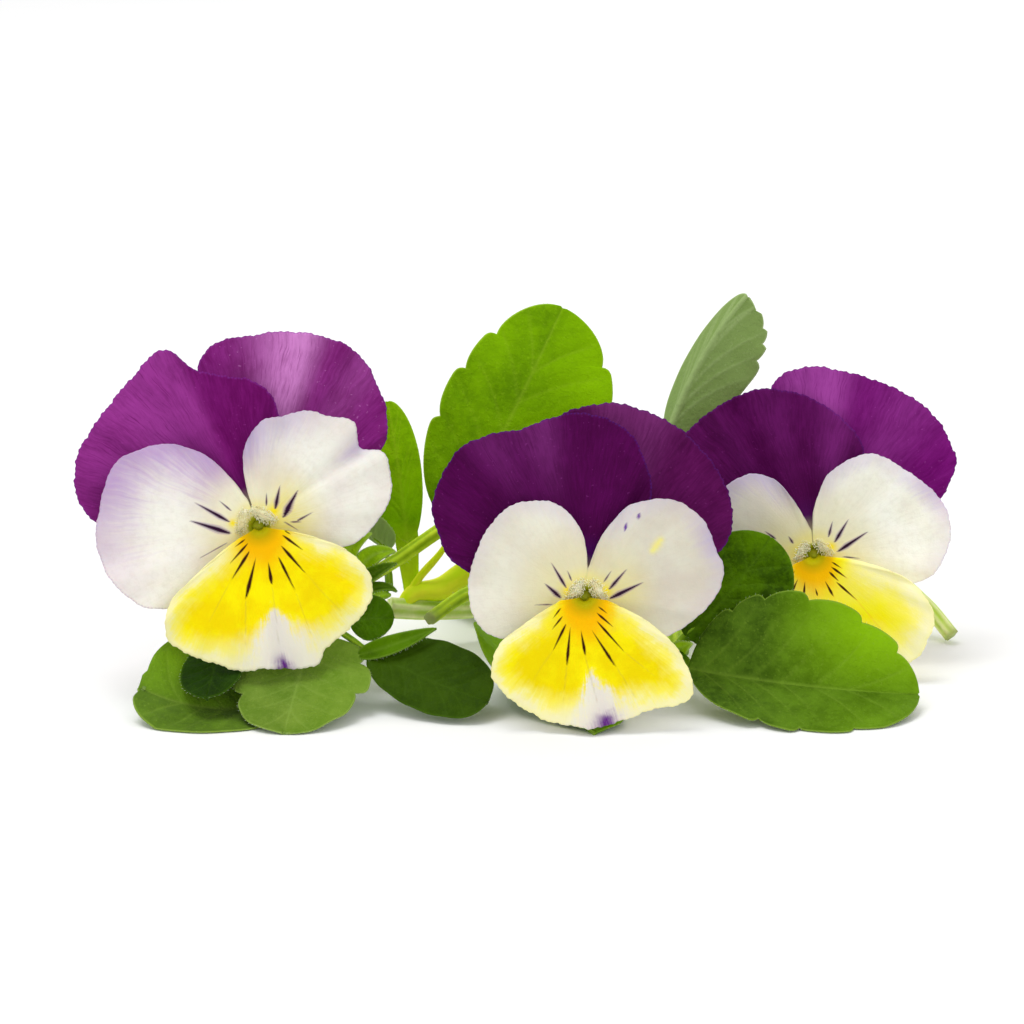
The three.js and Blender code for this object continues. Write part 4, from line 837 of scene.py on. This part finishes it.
PETALS = {
    "left_upper_back": dict(
        margin=[[118, 17], [112, 21], [109, 22.8], [103, 24.4], [94, 24.6], [82, 25.3], [70, 25.8],
            [60, 25.3], [49, 22.9], [43, 21.4], [37, 19.3], [34, 16.6], [30, 11]],
        folds=[[82, 1.3, 9], [100, -0.8, 9], [58, -0.7, 12]], glow=[[78, 5.5, 1, 12], [58, 7, 0.12]]),
    "left_upper_front": dict(
        margin=[[179, 16.5], [176, 20], [169, 22.8], [157, 24.4], [143, 24.4], [129, 24.9], [118, 25.6],
            [112, 21.8], [103, 20.0], [94, 19.0], [86, 17.2], [79, 13.5]],
        folds=[[118, 1.9, 9], [104, -1.0, 8], [140, -0.6, 10], [160, 0.7, 9]],
        glow=[[119, 4, 0.6, 16], [136, 9, 0.35], [155, 20, 0.45]]),
    "left_side_left": dict(
        margin=[[112, 4.6], [119, 8.0], [126, 12.2], [137, 16.2], [149, 18.9], [156, 19.9], [169, 19.9],
            [182, 20.1], [195, 19.3], [208, 17.5], [216, 15.4], [224, 12], [229, 8]],
        folds=[[150, 0.6, 14], [190, -0.5, 12]],
        marks=[[-3.7, 0.13, -8.65, 1.7, 0.27], [-3.9, 1.56, -8, 3.85, 0.2], [-3.7, 2.9, -5.1, 4.1, 0.08],
            [-4.2, -1, -7.4, -2.8, 0.04]], flush=[[128, 28, 1], [160, 22, 0.8], [188, 14, 0.3]],
        warm=[[212, 22, 0.5], [165, 30, 0.12]], spot=[[-3.5, 1.4, 0.5]]),
    "left_side_right": dict(
        margin=[[108, 5.4], [105, 8.5], [100, 11.2], [90, 13.8], [80, 14.7], [70, 16.1], [60, 16.7],
            [51, 17.8], [44, 16.4], [40, 16.2], [34, 18], [25, 17.4], [15, 16.2], [4, 13.6], [-6, 11.2],
            [-14, 7.5]], folds=[[99, -0.5, 4], [86, 0.9, 9], [41, -0.8, 5]],
        marks=[[2.65, 2.1, 4.35, 5.4, 0.3], [1.64, 3.1, 2.2, 5.9, 0.2], [0.58, 3.5, 0.56, 5, 0.09],
            [4.2, 1.6, 6.15, 2.7, 0.09], [3.55, 1.55, 4.8, 1.55, 0.07], [2.7, 1.6, 4.5, 0.5, 0.05]],
        flush=[[100, 14, 1], [76, 14, 0.6], [42, 5, 0.7]], warm=[[-8, 14, 0.9], [14, 24, 1], [52, 18, 0.85]],
        spot=[[1.5, 2.9, 0.6]]),
    "left_lower": dict(
        margin=[[193, 3.2], [204, 5.5], [211, 9], [217, 14], [228, 17], [240, 16.9], [252, 16.6],
            [262, 16.7], [272, 16.2], [286, 16.9], [294, 17], [299, 15.9], [307, 15.6], [318, 15.6],
            [331, 15.3], [341, 13.6], [350, 10.3], [357, 6.5], [365, 3.8]],
        folds=[[272, 0.5, 9], [240, -0.4, 12], [305, -0.4, 12]],
        marks=[[-2.05, -0.57, -3.3, -1.5, 0.09], [-1.73, -1.08, -3.9, -3.5, 0.13],
            [-1.5, -2, -3.75, -5.55, 0.17], [-1.95, -7.7, -0.74, -2.85, 0.21],
            [1.17, -6, 0.78, -3.4, 0.2], [2, -2.7, 4.1, -7, 0.15], [2.4, -1.4, 5.3, -4.7, 0.17],
            [2.53, -0.06, 5, -1.9, 0.14], [2.8, 0.5, 3.5, 0.03, 0.08]],
        veins=[[-1.95, -7.7, -2, -13.4, 0.09], [1.2, -6, 2.1, -14, 0.09], [4.1, -7, 6, -12.4, 0.08],
            [-3.7, -5.5, -6.4, -10.6, 0.07], [5.3, -4.7, 9.5, -9.2, 0.07]]),
    "middle_upper_back": dict(
        margin=[[104, 18], [97, 21.6], [90, 22.6], [80, 23.5], [70, 23.5], [60, 23.4], [50, 22.9],
            [40, 22.3], [30, 21.2], [22, 19.6], [17, 17.6], [13, 13]], folds=[[75, 0.8, 10], [45, -0.8, 12]],
        glow=[[80, 7, 0.5], [67, 7, 0.55]]),
    "middle_upper_front": dict(
        margin=[[172, 12], [166, 16], [160, 18], [150, 20.9], [140, 22.1], [130, 22.9], [120, 22.2],
            [110, 21.2], [100, 21.6], [90, 21.9], [80, 21.2], [72, 20], [64, 17.6], [56, 15.2], [50, 12]],
        folds=[[121, 1.2, 10], [100, -0.6, 9], [146, -0.6, 10], [74, 0.6, 10]],
        glow=[[104, 6, 0.5, 9], [122, 6, 0.3]], glow_from=0.45),
    "middle_side_left": dict(
        margin=[[78, 3.2], [84, 5], [89, 7], [95, 8.8], [102, 10.5], [110, 11.9], [120, 12.9],
            [130, 13.7], [142, 13.8], [155, 13.7], [170, 13.7], [182, 13.6], [193, 13.2], [203, 12.2],
            [211, 10.4], [218, 7.5]], folds=[[130, 0.5, 16], [185, -0.4, 14]],
        marks=[[-2.5, -0.44, -4.45, 1.3, 0.21], [-1.9, 0.8, -3.65, 3.75, 0.15],
            [-1.26, 1.63, -1.75, 2.85, 0.07], [-3.6, -1.2, -5.6, -1.26, 0.05]],
        flush=[[110, 40, 0.5], [160, 30, 0.25]], warm=[[195, 24, 0.35], [150, 20, 0.25]],
        spot=[[-1.75, 0.4, 0.5]]),
    "middle_side_right": dict(
        margin=[[77, 3], [74, 4.8], [71.5, 7.3], [67, 9.6], [61.5, 12.2], [50, 15], [40, 16.5],
            [30, 17.1], [20, 17], [10, 17.3], [0, 16.3], [-10, 14.3], [-20, 12.5], [-28, 10.8], [-35, 7.5]],
        folds=[[48, 0.5, 14], [5, -0.4, 14]],
        marks=[[3.25, -0.52, 7.3, 1.45, 0.22], [3.2, 0.57, 5.35, 3.05, 0.16], [2.6, 1.5, 3.5, 2.85, 0.07],
            [3.3, -1.13, 4.7, -1.55, 0.11]],
        flecks=[[6.85, 9.75, 6.75, 8.95, 0.2], [5.35, 8.6, 5.1, 7.5, 0.19]],
        blotch=[[8.5, 5.3, 0.4], [8.8, 5.7, 0.5], [9.1, 6.1, 0.5], [9.4, 6.5, 0.4]],
        flush=[[60, 25, 0.5], [22, 12, 0.9], [0, 12, 0.3]], warm=[[2, 22, 0.75], [30, 14, 0.3]],
        spot=[[2.9, 0.5, 0.5]]),
    "middle_lower": dict(
        margin=[[195, 2.7], [203, 5.2], [207, 8], [211, 11.6], [220, 14.2], [230, 15], [240, 15.2],
            [252, 15.6], [262, 15.6], [272, 15.9], [282, 15.8], [292, 15.7], [302, 16.1], [310, 17.2],
            [316, 17.9], [322, 16.6], [330, 13.2], [337, 9], [342, 5], [347, 3]],
        folds=[[277, 0.5, 9], [245, -0.4, 12], [308, -0.3, 12]],
        marks=[[-2.6, -1.6, -3.5, -2.8, 0.09], [-2.4, -2.6, -3.65, -4.15, 0.1],
            [-1.97, -3.5, -3.5, -6.6, 0.14], [-1.85, -8.4, -1.45, -3.9, 0.16],
            [0.36, -7.2, -0.16, -4.3, 0.16], [3.9, -8.5, 1.16, -4.3, 0.15], [1.77, -3.2, 5, -6.8, 0.13],
            [1.76, -2.2, 3.7, -3.85, 0.12], [1.95, -1.44, 3, -2.25, 0.08]],
        veins=[[-1.85, -8.4, -2.3, -12.8, 0.08], [0.3, -7.2, 2, -13.8, 0.12], [4, -8.5, 6.5, -12.6, 0.08],
            [-3.5, -6.5, -6, -10.4, 0.07], [5, -6.8, 9, -10, 0.07]]),
    "right_upper_back": dict(
        margin=[[112, 19], [105, 23.3], [95, 24.4], [85, 24], [72, 23.6], [60, 23.4], [50, 22.9],
            [43, 22], [36, 21.1], [30, 18.6], [26, 16.4], [21, 12]], folds=[[92, 0.9, 10], [60, -0.7, 12]],
        glow=[[97, 8, 0.8], [86, 6, 0.75], [60, 12, 0.3]]),
    "right_upper_front": dict(
        margin=[[178, 12], [170, 16.5], [160, 20.5], [150, 22.6], [140, 23.4], [130, 23.4], [120, 23.2],
            [110, 22.8], [100, 21.4], [92, 20], [81, 17.8], [70, 15.3], [62, 12]],
        folds=[[112, 0.9, 10], [134, -0.6, 9], [88, -0.4, 9]],
        glow=[[82, 8, 0.75], [108, 7, 0.22], [150, 12, 0.1], [128, 5, 0.2]]),
    "right_side_left": dict(
        margin=[[107, 3.6], [111, 5.5], [115, 8.4], [120, 11.4], [129, 13.7], [140, 14.7], [152, 15.2],
            [165, 15.2], [180, 14.6], [192, 13.4], [203, 11.5], [212, 8]],
        folds=[[140, 0.5, 14], [180, -0.4, 14]],
        marks=[[-5.5, 2.4, -6.9, 3.4, 0.11], [-3.35, 1.85, -3.9, 2.75, 0.12]],
        flush=[[125, 30, 0.9], [165, 30, 0.4]], warm=[[180, 34, 0.6]], spot=[[-2.6, 1, 0.4]]),
    "right_side_right": dict(
        margin=[[103, 3.8], [98, 5.8], [92, 7.8], [85, 10.4], [77, 12.2], [68, 14], [60, 15], [48, 15.3],
            [35, 16.2], [21, 17], [9, 16.5], [0, 15.5], [-8, 14.3], [-16, 11.8], [-22, 8]],
        folds=[[70, 0.6, 14], [20, -0.4, 14]],
        marks=[[2.2, 0.8, 6, 3.35, 0.21], [1.85, 2, 3.55, 4.85, 0.18], [1.1, 2.7, 1.57, 4.6, 0.12],
            [2.9, 0.2, 5, -0.02, 0.06]], flush=[[75, 30, 0.6], [30, 14, 0.9], [0, 10, 0.3]],
        warm=[[-5, 18, 0.5], [25, 14, 0.15]], spot=[[1.45, 1.45, 0.55]]),
    "right_lower": dict(
        slope=0.17, arch=0.7,
        margin=[[196, 3.5], [203, 7], [206, 9.8], [216, 12], [228, 13], [242, 13.2], [256, 13.4],
            [270, 13.6], [284, 14.3], [298, 15.3], [308, 16.7], [315, 17.4], [323, 16.9], [331, 16.4],
            [339, 14.5], [347, 11.2], [353, 7], [358, 4]],
        folds=[[272, 0.5, 9], [240, -0.4, 12], [312, -0.4, 12]],
        marks=[[1.6, -0.46, 2.85, -1.25, 0.09], [1.56, -1.1, 3.45, -2.45, 0.13],
            [1.25, -1.7, 2.45, -2.85, 0.13], [2.2, -3, 4.65, -5.15, 0.13],
            [1.75, -4.7, 0.73, -2.85, 0.14], [-0.2, -4.7, -0.46, -3.76, 0.1],
            [-1.9, -4.6, -1.8, -2.95, 0.13], [-3.75, -4.95, -2.7, -2.65, 0.16],
            [-4.15, -3.4, -3.06, -1.55, 0.13]],
        veins=[[4.65, -5.15, 8.4, -9.6, 0.08], [1.8, -4.7, 3.6, -10, 0.08]]),
}

PETAL_COLUMNS = 240
PETAL_RINGS = 66
FUNNEL_RINGS = 8
BEARD_DENSITY = 60  # hairs to a square millimetre
HEART_RADIUS = 1.35  # the petals' inner ends stand this far from the middle of the heart
FOLD_GAIN = 1.35
CUP_DEPTH = -7.3  # of the cup that holds the sepals
# Lengths and height of the waves of each petal's outline, its ruffle and the crinkle of its margin.
WAVES = {
    "upper": ((0.75, 1.3, 2.4, 4.6), 0.12, (4.2, 6.6, 11.0), 0.42, (1.7, 2.6), 0.09),
    "side": ((0.8, 1.7, 3.1, 5.6), 0.08, (6.0, 9.0, 14.0), 0.3, (2.4, 3.4), 0.04),
    "lower": ((0.8, 1.5, 2.7, 4.8), 0.11, (5.0, 7.5, 12.0), 0.34, (2.0, 3.1), 0.05),
}


def face_of(bloom):
    """Places points given as right, up and out on a bloom's face."""
    lean, yaw = math.radians(90 - FACE_LEAN), math.radians(bloom.yaw)
    tilt = np.array([[1, 0, 0], [0, math.cos(lean), -math.sin(lean)], [0, math.sin(lean), math.cos(lean)]])
    turn = np.array([[math.cos(yaw), 0, math.sin(yaw)], [0, 1, 0], [-math.sin(yaw), 0, math.cos(yaw)]])
    axes = tilt @ turn

    def place(u, v, w):
        return np.stack(np.broadcast_arrays(u, v, w), axis=-1) @ axes.T + np.array(bloom.throat)

    return place


def around(degrees, distance):
    angle = np.radians(degrees)
    return distance * np.cos(angle), distance * np.sin(angle)


def waves(along, wavelengths, amplitude):
    """An irregular wave: a sum of sines with seeded phases."""
    total = np.zeros_like(along)
    for length in wavelengths:
        total += np.sin(2 * math.pi * along / length + rng.uniform(0, 2 * math.pi)) * rng.uniform(0.5, 1)
    return amplitude * total / math.sqrt(len(wavelengths))


def tint(spots, degrees):
    total = np.zeros_like(degrees)
    for centre, spread, strength, *beyond in spots:
        width = np.where(degrees < centre, spread, (beyond or [spread])[0])
        total += strength * bell(degrees - centre, width)
    return np.clip(total, 0, 1)


def lines(marks, u, v, spread=1.0, thickest=0.3):
    """1 on each line, thickest a share of the way along it and pointed at both ends, 0 away from it."""
    shade = np.zeros_like(u)
    for first_u, first_v, last_u, last_v, half in marks:
        span = np.array([last_u - first_u, last_v - first_v])
        held = np.clip(((u - first_u) * span[0] + (v - first_v) * span[1]) / (span @ span), 0, 1)
        gap = np.hypot(u - first_u - span[0] * held, v - first_v - span[1] * held)
        width = np.where(held < thickest, (held / thickest) ** 0.5, ((1 - held) / (1 - thickest)) ** 0.75)
        shade = np.maximum(shade, np.clip((spread * half * width - gap) / (0.07 * spread) + 0.5, 0, 1))
    return shade


def dabs(spots, u, v):
    """1 in the middle of each round soft spot, 0 away from it."""
    total = np.zeros_like(u)
    for right, up, radius in spots:
        total = np.maximum(total, bell(np.hypot(u - right, v - up), radius))
    return total


def build_petal(side, name, material):
    bloom, petal = BLOOMS[side], defaultdict(list, PETALS[f"{side}_{name}"])
    place, heart = face_of(bloom), np.array(bloom.heart)
    depth, slope, arch, claw = LAYERS[name]
    slope, arch = petal.get("slope", slope), petal.get("arch", arch)
    ragged, rag, ruffled, ruffle, crinkled, crinkle = WAVES[name.split("_")[0]]
    outline = spline([around(*stop) for stop in petal["margin"]], PETAL_COLUMNS)
    degrees = np.degrees(np.unwrap(np.arctan2(outline[:, 1], outline[:, 0])))
    degrees += 360 * round((petal["margin"][0][0] - degrees[0]) / 360)
    along, reach = run_of(outline), np.hypot(outline[:, 0], outline[:, 1])
    reach += waves(along, ragged, rag) * np.clip(reach / 8 - 0.4, 0, 1)
    border = np.stack(around(degrees, reach), axis=1)
    inner = heart + HEART_RADIUS * unit(border - heart)
    # Rings run from the sunk funnel of the throat out to the border.
    inward = np.linspace(1, 0, FUNNEL_RINGS, endpoint=False) * math.pi / 2
    share = np.linspace(0, 1, PETAL_RINGS) ** 1.15
    mouth = heart + (inner - heart)[:, None] * (1 - 0.55 * np.sin(inward))[:, None]
    open_part = inner[:, None] + (border - inner)[:, None] * share[:, None]
    face = np.concatenate([mouth, open_part], axis=1)
    shares = np.concatenate([np.zeros(FUNNEL_RINGS), share])
    sunk = np.concatenate([1 - np.cos(inward), np.zeros(PETAL_RINGS)])
    u, v, wide = face[..., 0], face[..., 1], degrees[:, None]
    distance = np.hypot(u, v)
    folds = np.zeros_like(wide)
    for at, height, spread in petal["folds"]:
        folds += FOLD_GAIN * height * bell(wide - at, spread)
    w = depth + slope * distance - arch * (distance / ARCH_REACH) ** 2 - THROAT_DEPTH * sunk
    w = w + folds * shares**1.5 + waves(along, ruffled, ruffle)[:, None] * shares**3
    w = w + waves(along, crinkled, crinkle)[:, None] * shares**7
    half = 0.5 * (PETAL_BASE + (PETAL_EDGE - PETAL_BASE) * shares**0.5)
    marks, glow_from = petal["marks"], petal.get("glow_from", 0.2)
    shells = [sheet(
        place(u, v, w), half, half, material,
        turn=wide, reach=np.hypot(u - heart[0], v - heart[1]),
        edge=distance_to(face.reshape(-1, 2), border[::2]).reshape(u.shape),
        # painted sheen: the paler highlight of the velvet and of the lit side of a fold, from a share of the
        # way out
        glow=tint(petal["glow"], wide) * np.clip(2.2 * (shares - glow_from), 0, 1),
        flush=tint(petal["flush"], wide), warm=tint(petal["warm"], wide),
        spot=dabs(petal["spot"], u, v), blotch=0.7 * dabs(petal["blotch"], u, v),
        mark=lines(marks, u, v, 1.2 if name == "lower" else 1.0), halo=0.5 * lines(marks, u, v, 1.9),
        vein=lines(petal["veins"], u, v), fleck=lines(petal["flecks"], u, v, thickest=0.5),
    )]
    right, up = heart
    if name == "lower":
        spur = ((0, -1.6, -2.0), (0.1, -2.6, -3.4), (0.2, -3.2, -5.6), (0.3, -3.6, -8.9), (0.3, -3.65, -9.5))
        shells.append(rod([place(a + right, b + 0.5 * up, c) for a, b, c in spur],
                          [0.8, 0.95, 1.0, 1.0, 0.95, 0.55], SPUR_PALE, sides=18, per_mm=3, flat=1.15))
    else:
        stops = []
        for distance, out in ((1.1, depth - 1.6), (0.75, depth - THROAT_DEPTH), (0.6, -6.9)):
            a, b = around(claw, distance)
            stops.append(place(a + right, b + up, out))
        shells.append(rod(stops, [0.45, 0.35, 0.4], SPUR_PALE, sides=10, per_mm=3, flat=1.4))
    slot = {"upper_back": "upper_petal_back", "upper_front": "upper_petal_front", "lower": "lower_petal"}
    piece(f"{side}_{name}_fine", shells, slot.get(name, "side_petal"), f"{side}_petal_{name}")


def build_heart(side, bloom):
    """Ovary, the cone of anthers and the round green head of the style."""
    place = face_of(bloom)
    right, up = bloom.heart
    origin = place(0, 0, 0)
    axes = np.array([place(0, 0, 1) - origin, place(1, 0, 0) - origin, place(0, 1, 0) - origin])

    def dent(tilt, turn):
        below = np.angle(np.exp(1j * (turn + math.pi / 2)))
        return 1 - 0.15 * np.exp(-(((tilt - 0.6) / 0.4) ** 2) - (below / 0.6) ** 2)

    style = [place(0, 0, -6.2), place(right, 0.5 * up, -3.6), place(right, up - 0.2, -1.6)]
    shells = [ball(place(right, up - 0.1, -2.3), (0.8, 1.2, 1.1), axes, HEART_GREEN, bulge=dent),
              rod(style, [0.7, 0.6, 0.35], HEART_GREEN, sides=16, per_mm=3)]
    for turn in range(54, 414, 72):
        ends = []
        for reach, w in ((0.55, -4.9), (0.8, -3.6), (0.6, -2.5)):
            across, above = around(turn, reach)
            ends.append(place(across + right, above + up, w))
        outward = place(*around(turn, 1.0), 0.2) - origin
        shells.append(pointed_blade(*ends, outward, 0.45, ANTHER_ORANGE, rows=16, lanes=5)[0])
    piece(f"{side}_heart_fine", shells, "flower_heart", f"{side}_heart")


def build_beards(side, bloom):
    """The side petals' beards: each a padded ridge, thickly set with club-shaped hairs."""
    place = face_of(bloom)
    origin, beards = place(0, 0, 0), []
    for *ends, half in bloom.beards:
        start, run = np.array(ends[:2]), np.array(ends[2:]) - ends[:2]
        inward = unit(np.array([run[1], -run[0]]))
        inward = inward * np.sign(inward @ (np.array(bloom.heart) - start))
        ridge = [place(*(start + run * t), -1.3) for t in (-0.04, 0.5, 1.04)]
        beards.append(rod(ridge, [0.45 * half, 0.8 * half, 0.45 * half], BEARD_CREAM, sides=18, per_mm=6))
        count = int(BEARD_DENSITY * 2 * half * np.linalg.norm(run))
        along, aside = rng.uniform(-0.08, 1.08, count), rng.uniform(-1, 1, count)
        thick = 0.9 * half * (1 - 1.6 * (along - 0.5) ** 2)
        feet = start + run * along[:, None] + inward * (thick * aside)[:, None]
        roots = place(feet[:, 0], feet[:, 1], -1.3 + 0.85 * thick * np.sqrt(1 - aside**2))
        ways = place(inward[0] * aside, inward[1] * aside, 1.1 - 0.6 * np.abs(aside)) - origin
        ways += rng.normal(0, 0.25, (count, 3))
        lengths = rng.uniform(0.2, 0.42, count)
        beards.append(hairs(roots, ways, lengths, 0.05, BEARD_CREAM, CLUBBED, (0, -0.1, -0.1)))
    piece(f"{side}_beards", beards, "side_petal")


def build_stalk(side, bloom):
    """The green stalk, the cup that it ends in and its five pointed sepals, each with a lobe behind."""
    place = face_of(bloom)
    origin = place(0, 0, 0)
    facing = place(0, 0, 1) - origin
    stalk = [place(0, 0, CUP_DEPTH - 1.2), place(0, 0.9, CUP_DEPTH - 3.8), *bloom.stalk]
    cup = [place(0, 0, CUP_DEPTH + 0.9), place(0, 0, CUP_DEPTH - 1), place(0, 0.1, CUP_DEPTH - 2.2)]
    shells = [rod(stalk, [0.8, 0.85, 0.85, 0.9], STALK_GREEN, sides=18, ribs=4, rib_height=0.08, per_mm=2.5),
              rod(cup, [1.2, 1.5, 1.35, 0.8], STALK_GREEN, sides=20, per_mm=5),
              stem_hairs(stalk, 0.85, 160, 0.25)]

    def lobe(turn, *stops):
        return [place(*around(turn, reach), CUP_DEPTH + w) for reach, w in stops]

    for turn in range(90, 450, 72):
        ahead = lobe(turn, (-0.1, -0.7), (4.0, 0.0), (9.0, -1.2))
        shell, rims = pointed_blade(*ahead, facing, 1.4, SEPAL_GREEN, cup=-0.2)
        behind = lobe(turn, (1.4, -0.2), (1.5, -1.2), (1.9, -2.4))
        outward = place(*around(turn, 1.0), 0) - origin
        spur, _ = pointed_blade(*behind, outward, 1.0, SEPAL_GREEN, rows=24)
        shells += [shell, cilia(rims, 1.5, 0.25), spur]
    piece(f"{side}_stalk_fine", shells, "flower_stalk", f"{side}_flower_stalk")


# ---------- the whole shoot ----------
HAIR_WHITE = painted(plain_material, "hair_white", (232, 240, 214), (206, 220, 176), 300.0)
STALK_GREEN = painted(stem_material, "stalk_green", (160, 200, 50), (104, 146, 12))
# A brighter copy of the stalk green for the petioles of leaves lit from behind: painted light.
PAINTED_BACKLIT_GREEN = painted(stem_material, "young_green", (252, 255, 60), (216, 246, 0))
BRANCH_GREEN = painted(stem_material, "branch_green", (206, 236, 50), (128, 168, 0))
STEM_GREEN = painted(stem_material, "stem_green", (250, 255, 190), (186, 220, 70))
STIPULE_GREEN = painted(leaf_material, "stipule_green", (176, 220, 30), (130, 176, 8), (140, 170, 90),
                        (176, 206, 100))
SEPAL_GREEN = painted(leaf_material, "sepal_green", (82, 122, 0), (56, 88, 0), (116, 144, 74), (120, 156, 50))
SPUR_PALE = painted(plain_material, "spur_pale", (214, 206, 150), (172, 150, 176), 200.0)
HEART_GREEN = painted(plain_material, "heart_green", (192, 192, 34), (168, 174, 18), 700.0)
ANTHER_ORANGE = painted(plain_material, "anther_orange", (226, 140, 10), (236, 180, 60), 600.0)
BEARD_CREAM = painted(plain_material, "beard_cream", (255, 251, 224), (252, 244, 200), 500.0, 0.8)

# Screen colours of the upper petals: deep, between the veins, pale for fine specks and the painted sheen
# highlight, and rim.
UPPER_LOOKS = {
    ("left", "upper_back"): ((112, 16, 100), (138, 38, 130), (212, 134, 206), (124, 54, 150)),
    ("left", "upper_front"): ((98, 4, 86), (124, 22, 114), (170, 66, 162), (124, 50, 150)),
    ("middle", "upper_back"): ((74, 2, 64), (96, 16, 86), (130, 54, 122), (80, 34, 120)),
    ("middle", "upper_front"): ((68, 0, 60), (86, 4, 80), (134, 52, 130), (80, 34, 130)),
    ("right", "upper_back"): ((100, 0, 94), (122, 18, 118), (164, 70, 160), (112, 30, 130)),
    ("right", "upper_front"): ((70, 0, 62), (92, 10, 86), (126, 38, 122), (88, 32, 124)),
}
# The same petals' colours near the throat, from outside inward.
UPPER_HEARTS = {"left": ((112, 30, 110), (214, 206, 176)), "middle": ((80, 24, 120), (196, 180, 156)),
                "right": ((92, 24, 104), (200, 190, 156))}
# Two creams, the lavender of the margin, how strongly it shows and how far in it reaches.
SIDE_LOOKS = {
    ("left", "side_left"): ((252, 249, 238), (244, 238, 232), (182, 148, 198), 0.9, 7.5),
    ("left", "side_right"): ((246, 243, 232), (238, 230, 222), (180, 158, 200), 0.85, 5.0),
    ("middle", "side_left"): ((236, 232, 214), (228, 222, 204), (196, 178, 218), 0.6, 2.6),
    ("middle", "side_right"): ((224, 220, 202), (216, 208, 192), (186, 168, 212), 0.7, 3.0),
    ("right", "side_left"): ((230, 224, 208), (220, 212, 200), (186, 170, 204), 0.8, 3.5),
    ("right", "side_right"): ((254, 252, 240), (246, 242, 226), (196, 174, 216), 0.75, 3.0),
}
# The white wedge's direction, start and spread, the violet tip's direction and size, how wide the pale
# margin is, how strongly the petal glows with its own colour as painted light, and two yellows.
LOWER_LOOKS = {
    "left": (279.5, 10.0, 17.0, 279.2, 2.8, 1.6, 0.0, (248, 220, 0), (255, 238, 2)),
    "middle": (278, 9.0, 13.0, 280, 4.2, 1.6, 0.0, (240, 216, 0), (252, 236, 6)),
    "right": (272, 9.5, 9.0, 274, 2.4, 3.2, 0.13, (255, 236, 0), (255, 244, 20)),
}

build_stems()
for name, leaf in LEAVES.items():
    build_leaf(name, leaf)
for side, bloom in BLOOMS.items():
    for name in ("upper_back", "upper_front"):
        looks = (*UPPER_LOOKS[side, name], *UPPER_HEARTS[side])
        build_petal(side, name, painted(upper_material, f"{side}_{name}", *looks))
    for name in ("side_left", "side_right"):
        build_petal(side, name, painted(side_material, f"{side}_{name}", *SIDE_LOOKS[side, name]))
    build_petal(side, "lower", painted(lower_material, f"{side}_lower", *LOWER_LOOKS[side]))
    build_heart(side, bloom)
    build_beards(side, bloom)
    build_stalk(side, bloom)

# ---------- floor, light and camera ----------
LOOK_AT = (np.array([0.0, 26.1, 20.3]) - REST_CENTRE) * MM
CAMERA_DISTANCE = 0.45
CAMERA_ELEVATION = math.radians(15)
CAMERA_LENS = 126.56
WORLD_LIGHT = 0.72
LAMP_TARGET = (0, 0, 0.02)
# Each soft lamp's place, size and watts.
LAMPS = {
    "key": ((-0.25, 0.0, 1.0), 0.5, 4.2),
    "back": ((0.35, 0.8, 0.6), 0.6, 1.2),
    "fill": ((0.45, -0.8, 0.35), 0.8, 1.2),
}


def aimed(name, data, place, towards):
    """A lamp or a camera that stands at a place and looks along a direction."""
    built = bpy.data.objects.new(name, data)
    built.location = place
    built.rotation_euler = towards.to_track_quat("-Z", "Y").to_euler()
    bpy.context.scene.collection.objects.link(built)
    return built


def build_stage():
    bpy.ops.mesh.primitive_plane_add(size=6.0, location=(0, 0, 0))
    floor = bpy.context.object
    floor.name = "floor"
    shader = Shader("floor_white", 0.9, 0.0)
    shader.base = shader.mix(shader.noise(40.0), linear(250, 250, 250), linear(252, 252, 252))
    floor.data.materials.append(shader.finish())
    world = bpy.data.worlds.new("studio")
    bpy.context.scene.world = world
    world.use_nodes = True
    background = world.node_tree.nodes["Background"].inputs
    background["Color"].default_value = (1, 1, 1, 1)
    background["Strength"].default_value = WORLD_LIGHT
    for name, (place, size, watts) in LAMPS.items():
        data = bpy.data.lights.new(name, "AREA")
        data.energy, data.size = watts, size
        aimed(name, data, place, Vector(LAMP_TARGET) - Vector(place))


def build_camera():
    data = bpy.data.cameras.new("camera")
    data.lens = CAMERA_LENS
    data.clip_start, data.clip_end = 0.01, 20
    away = Vector((0, -math.cos(CAMERA_ELEVATION), math.sin(CAMERA_ELEVATION)))
    bpy.context.scene.camera = aimed("camera", data, Vector(LOOK_AT) + away * CAMERA_DISTANCE, -away)


build_stage()
build_camera()
bpy.context.scene.view_settings.view_transform = "Standard"
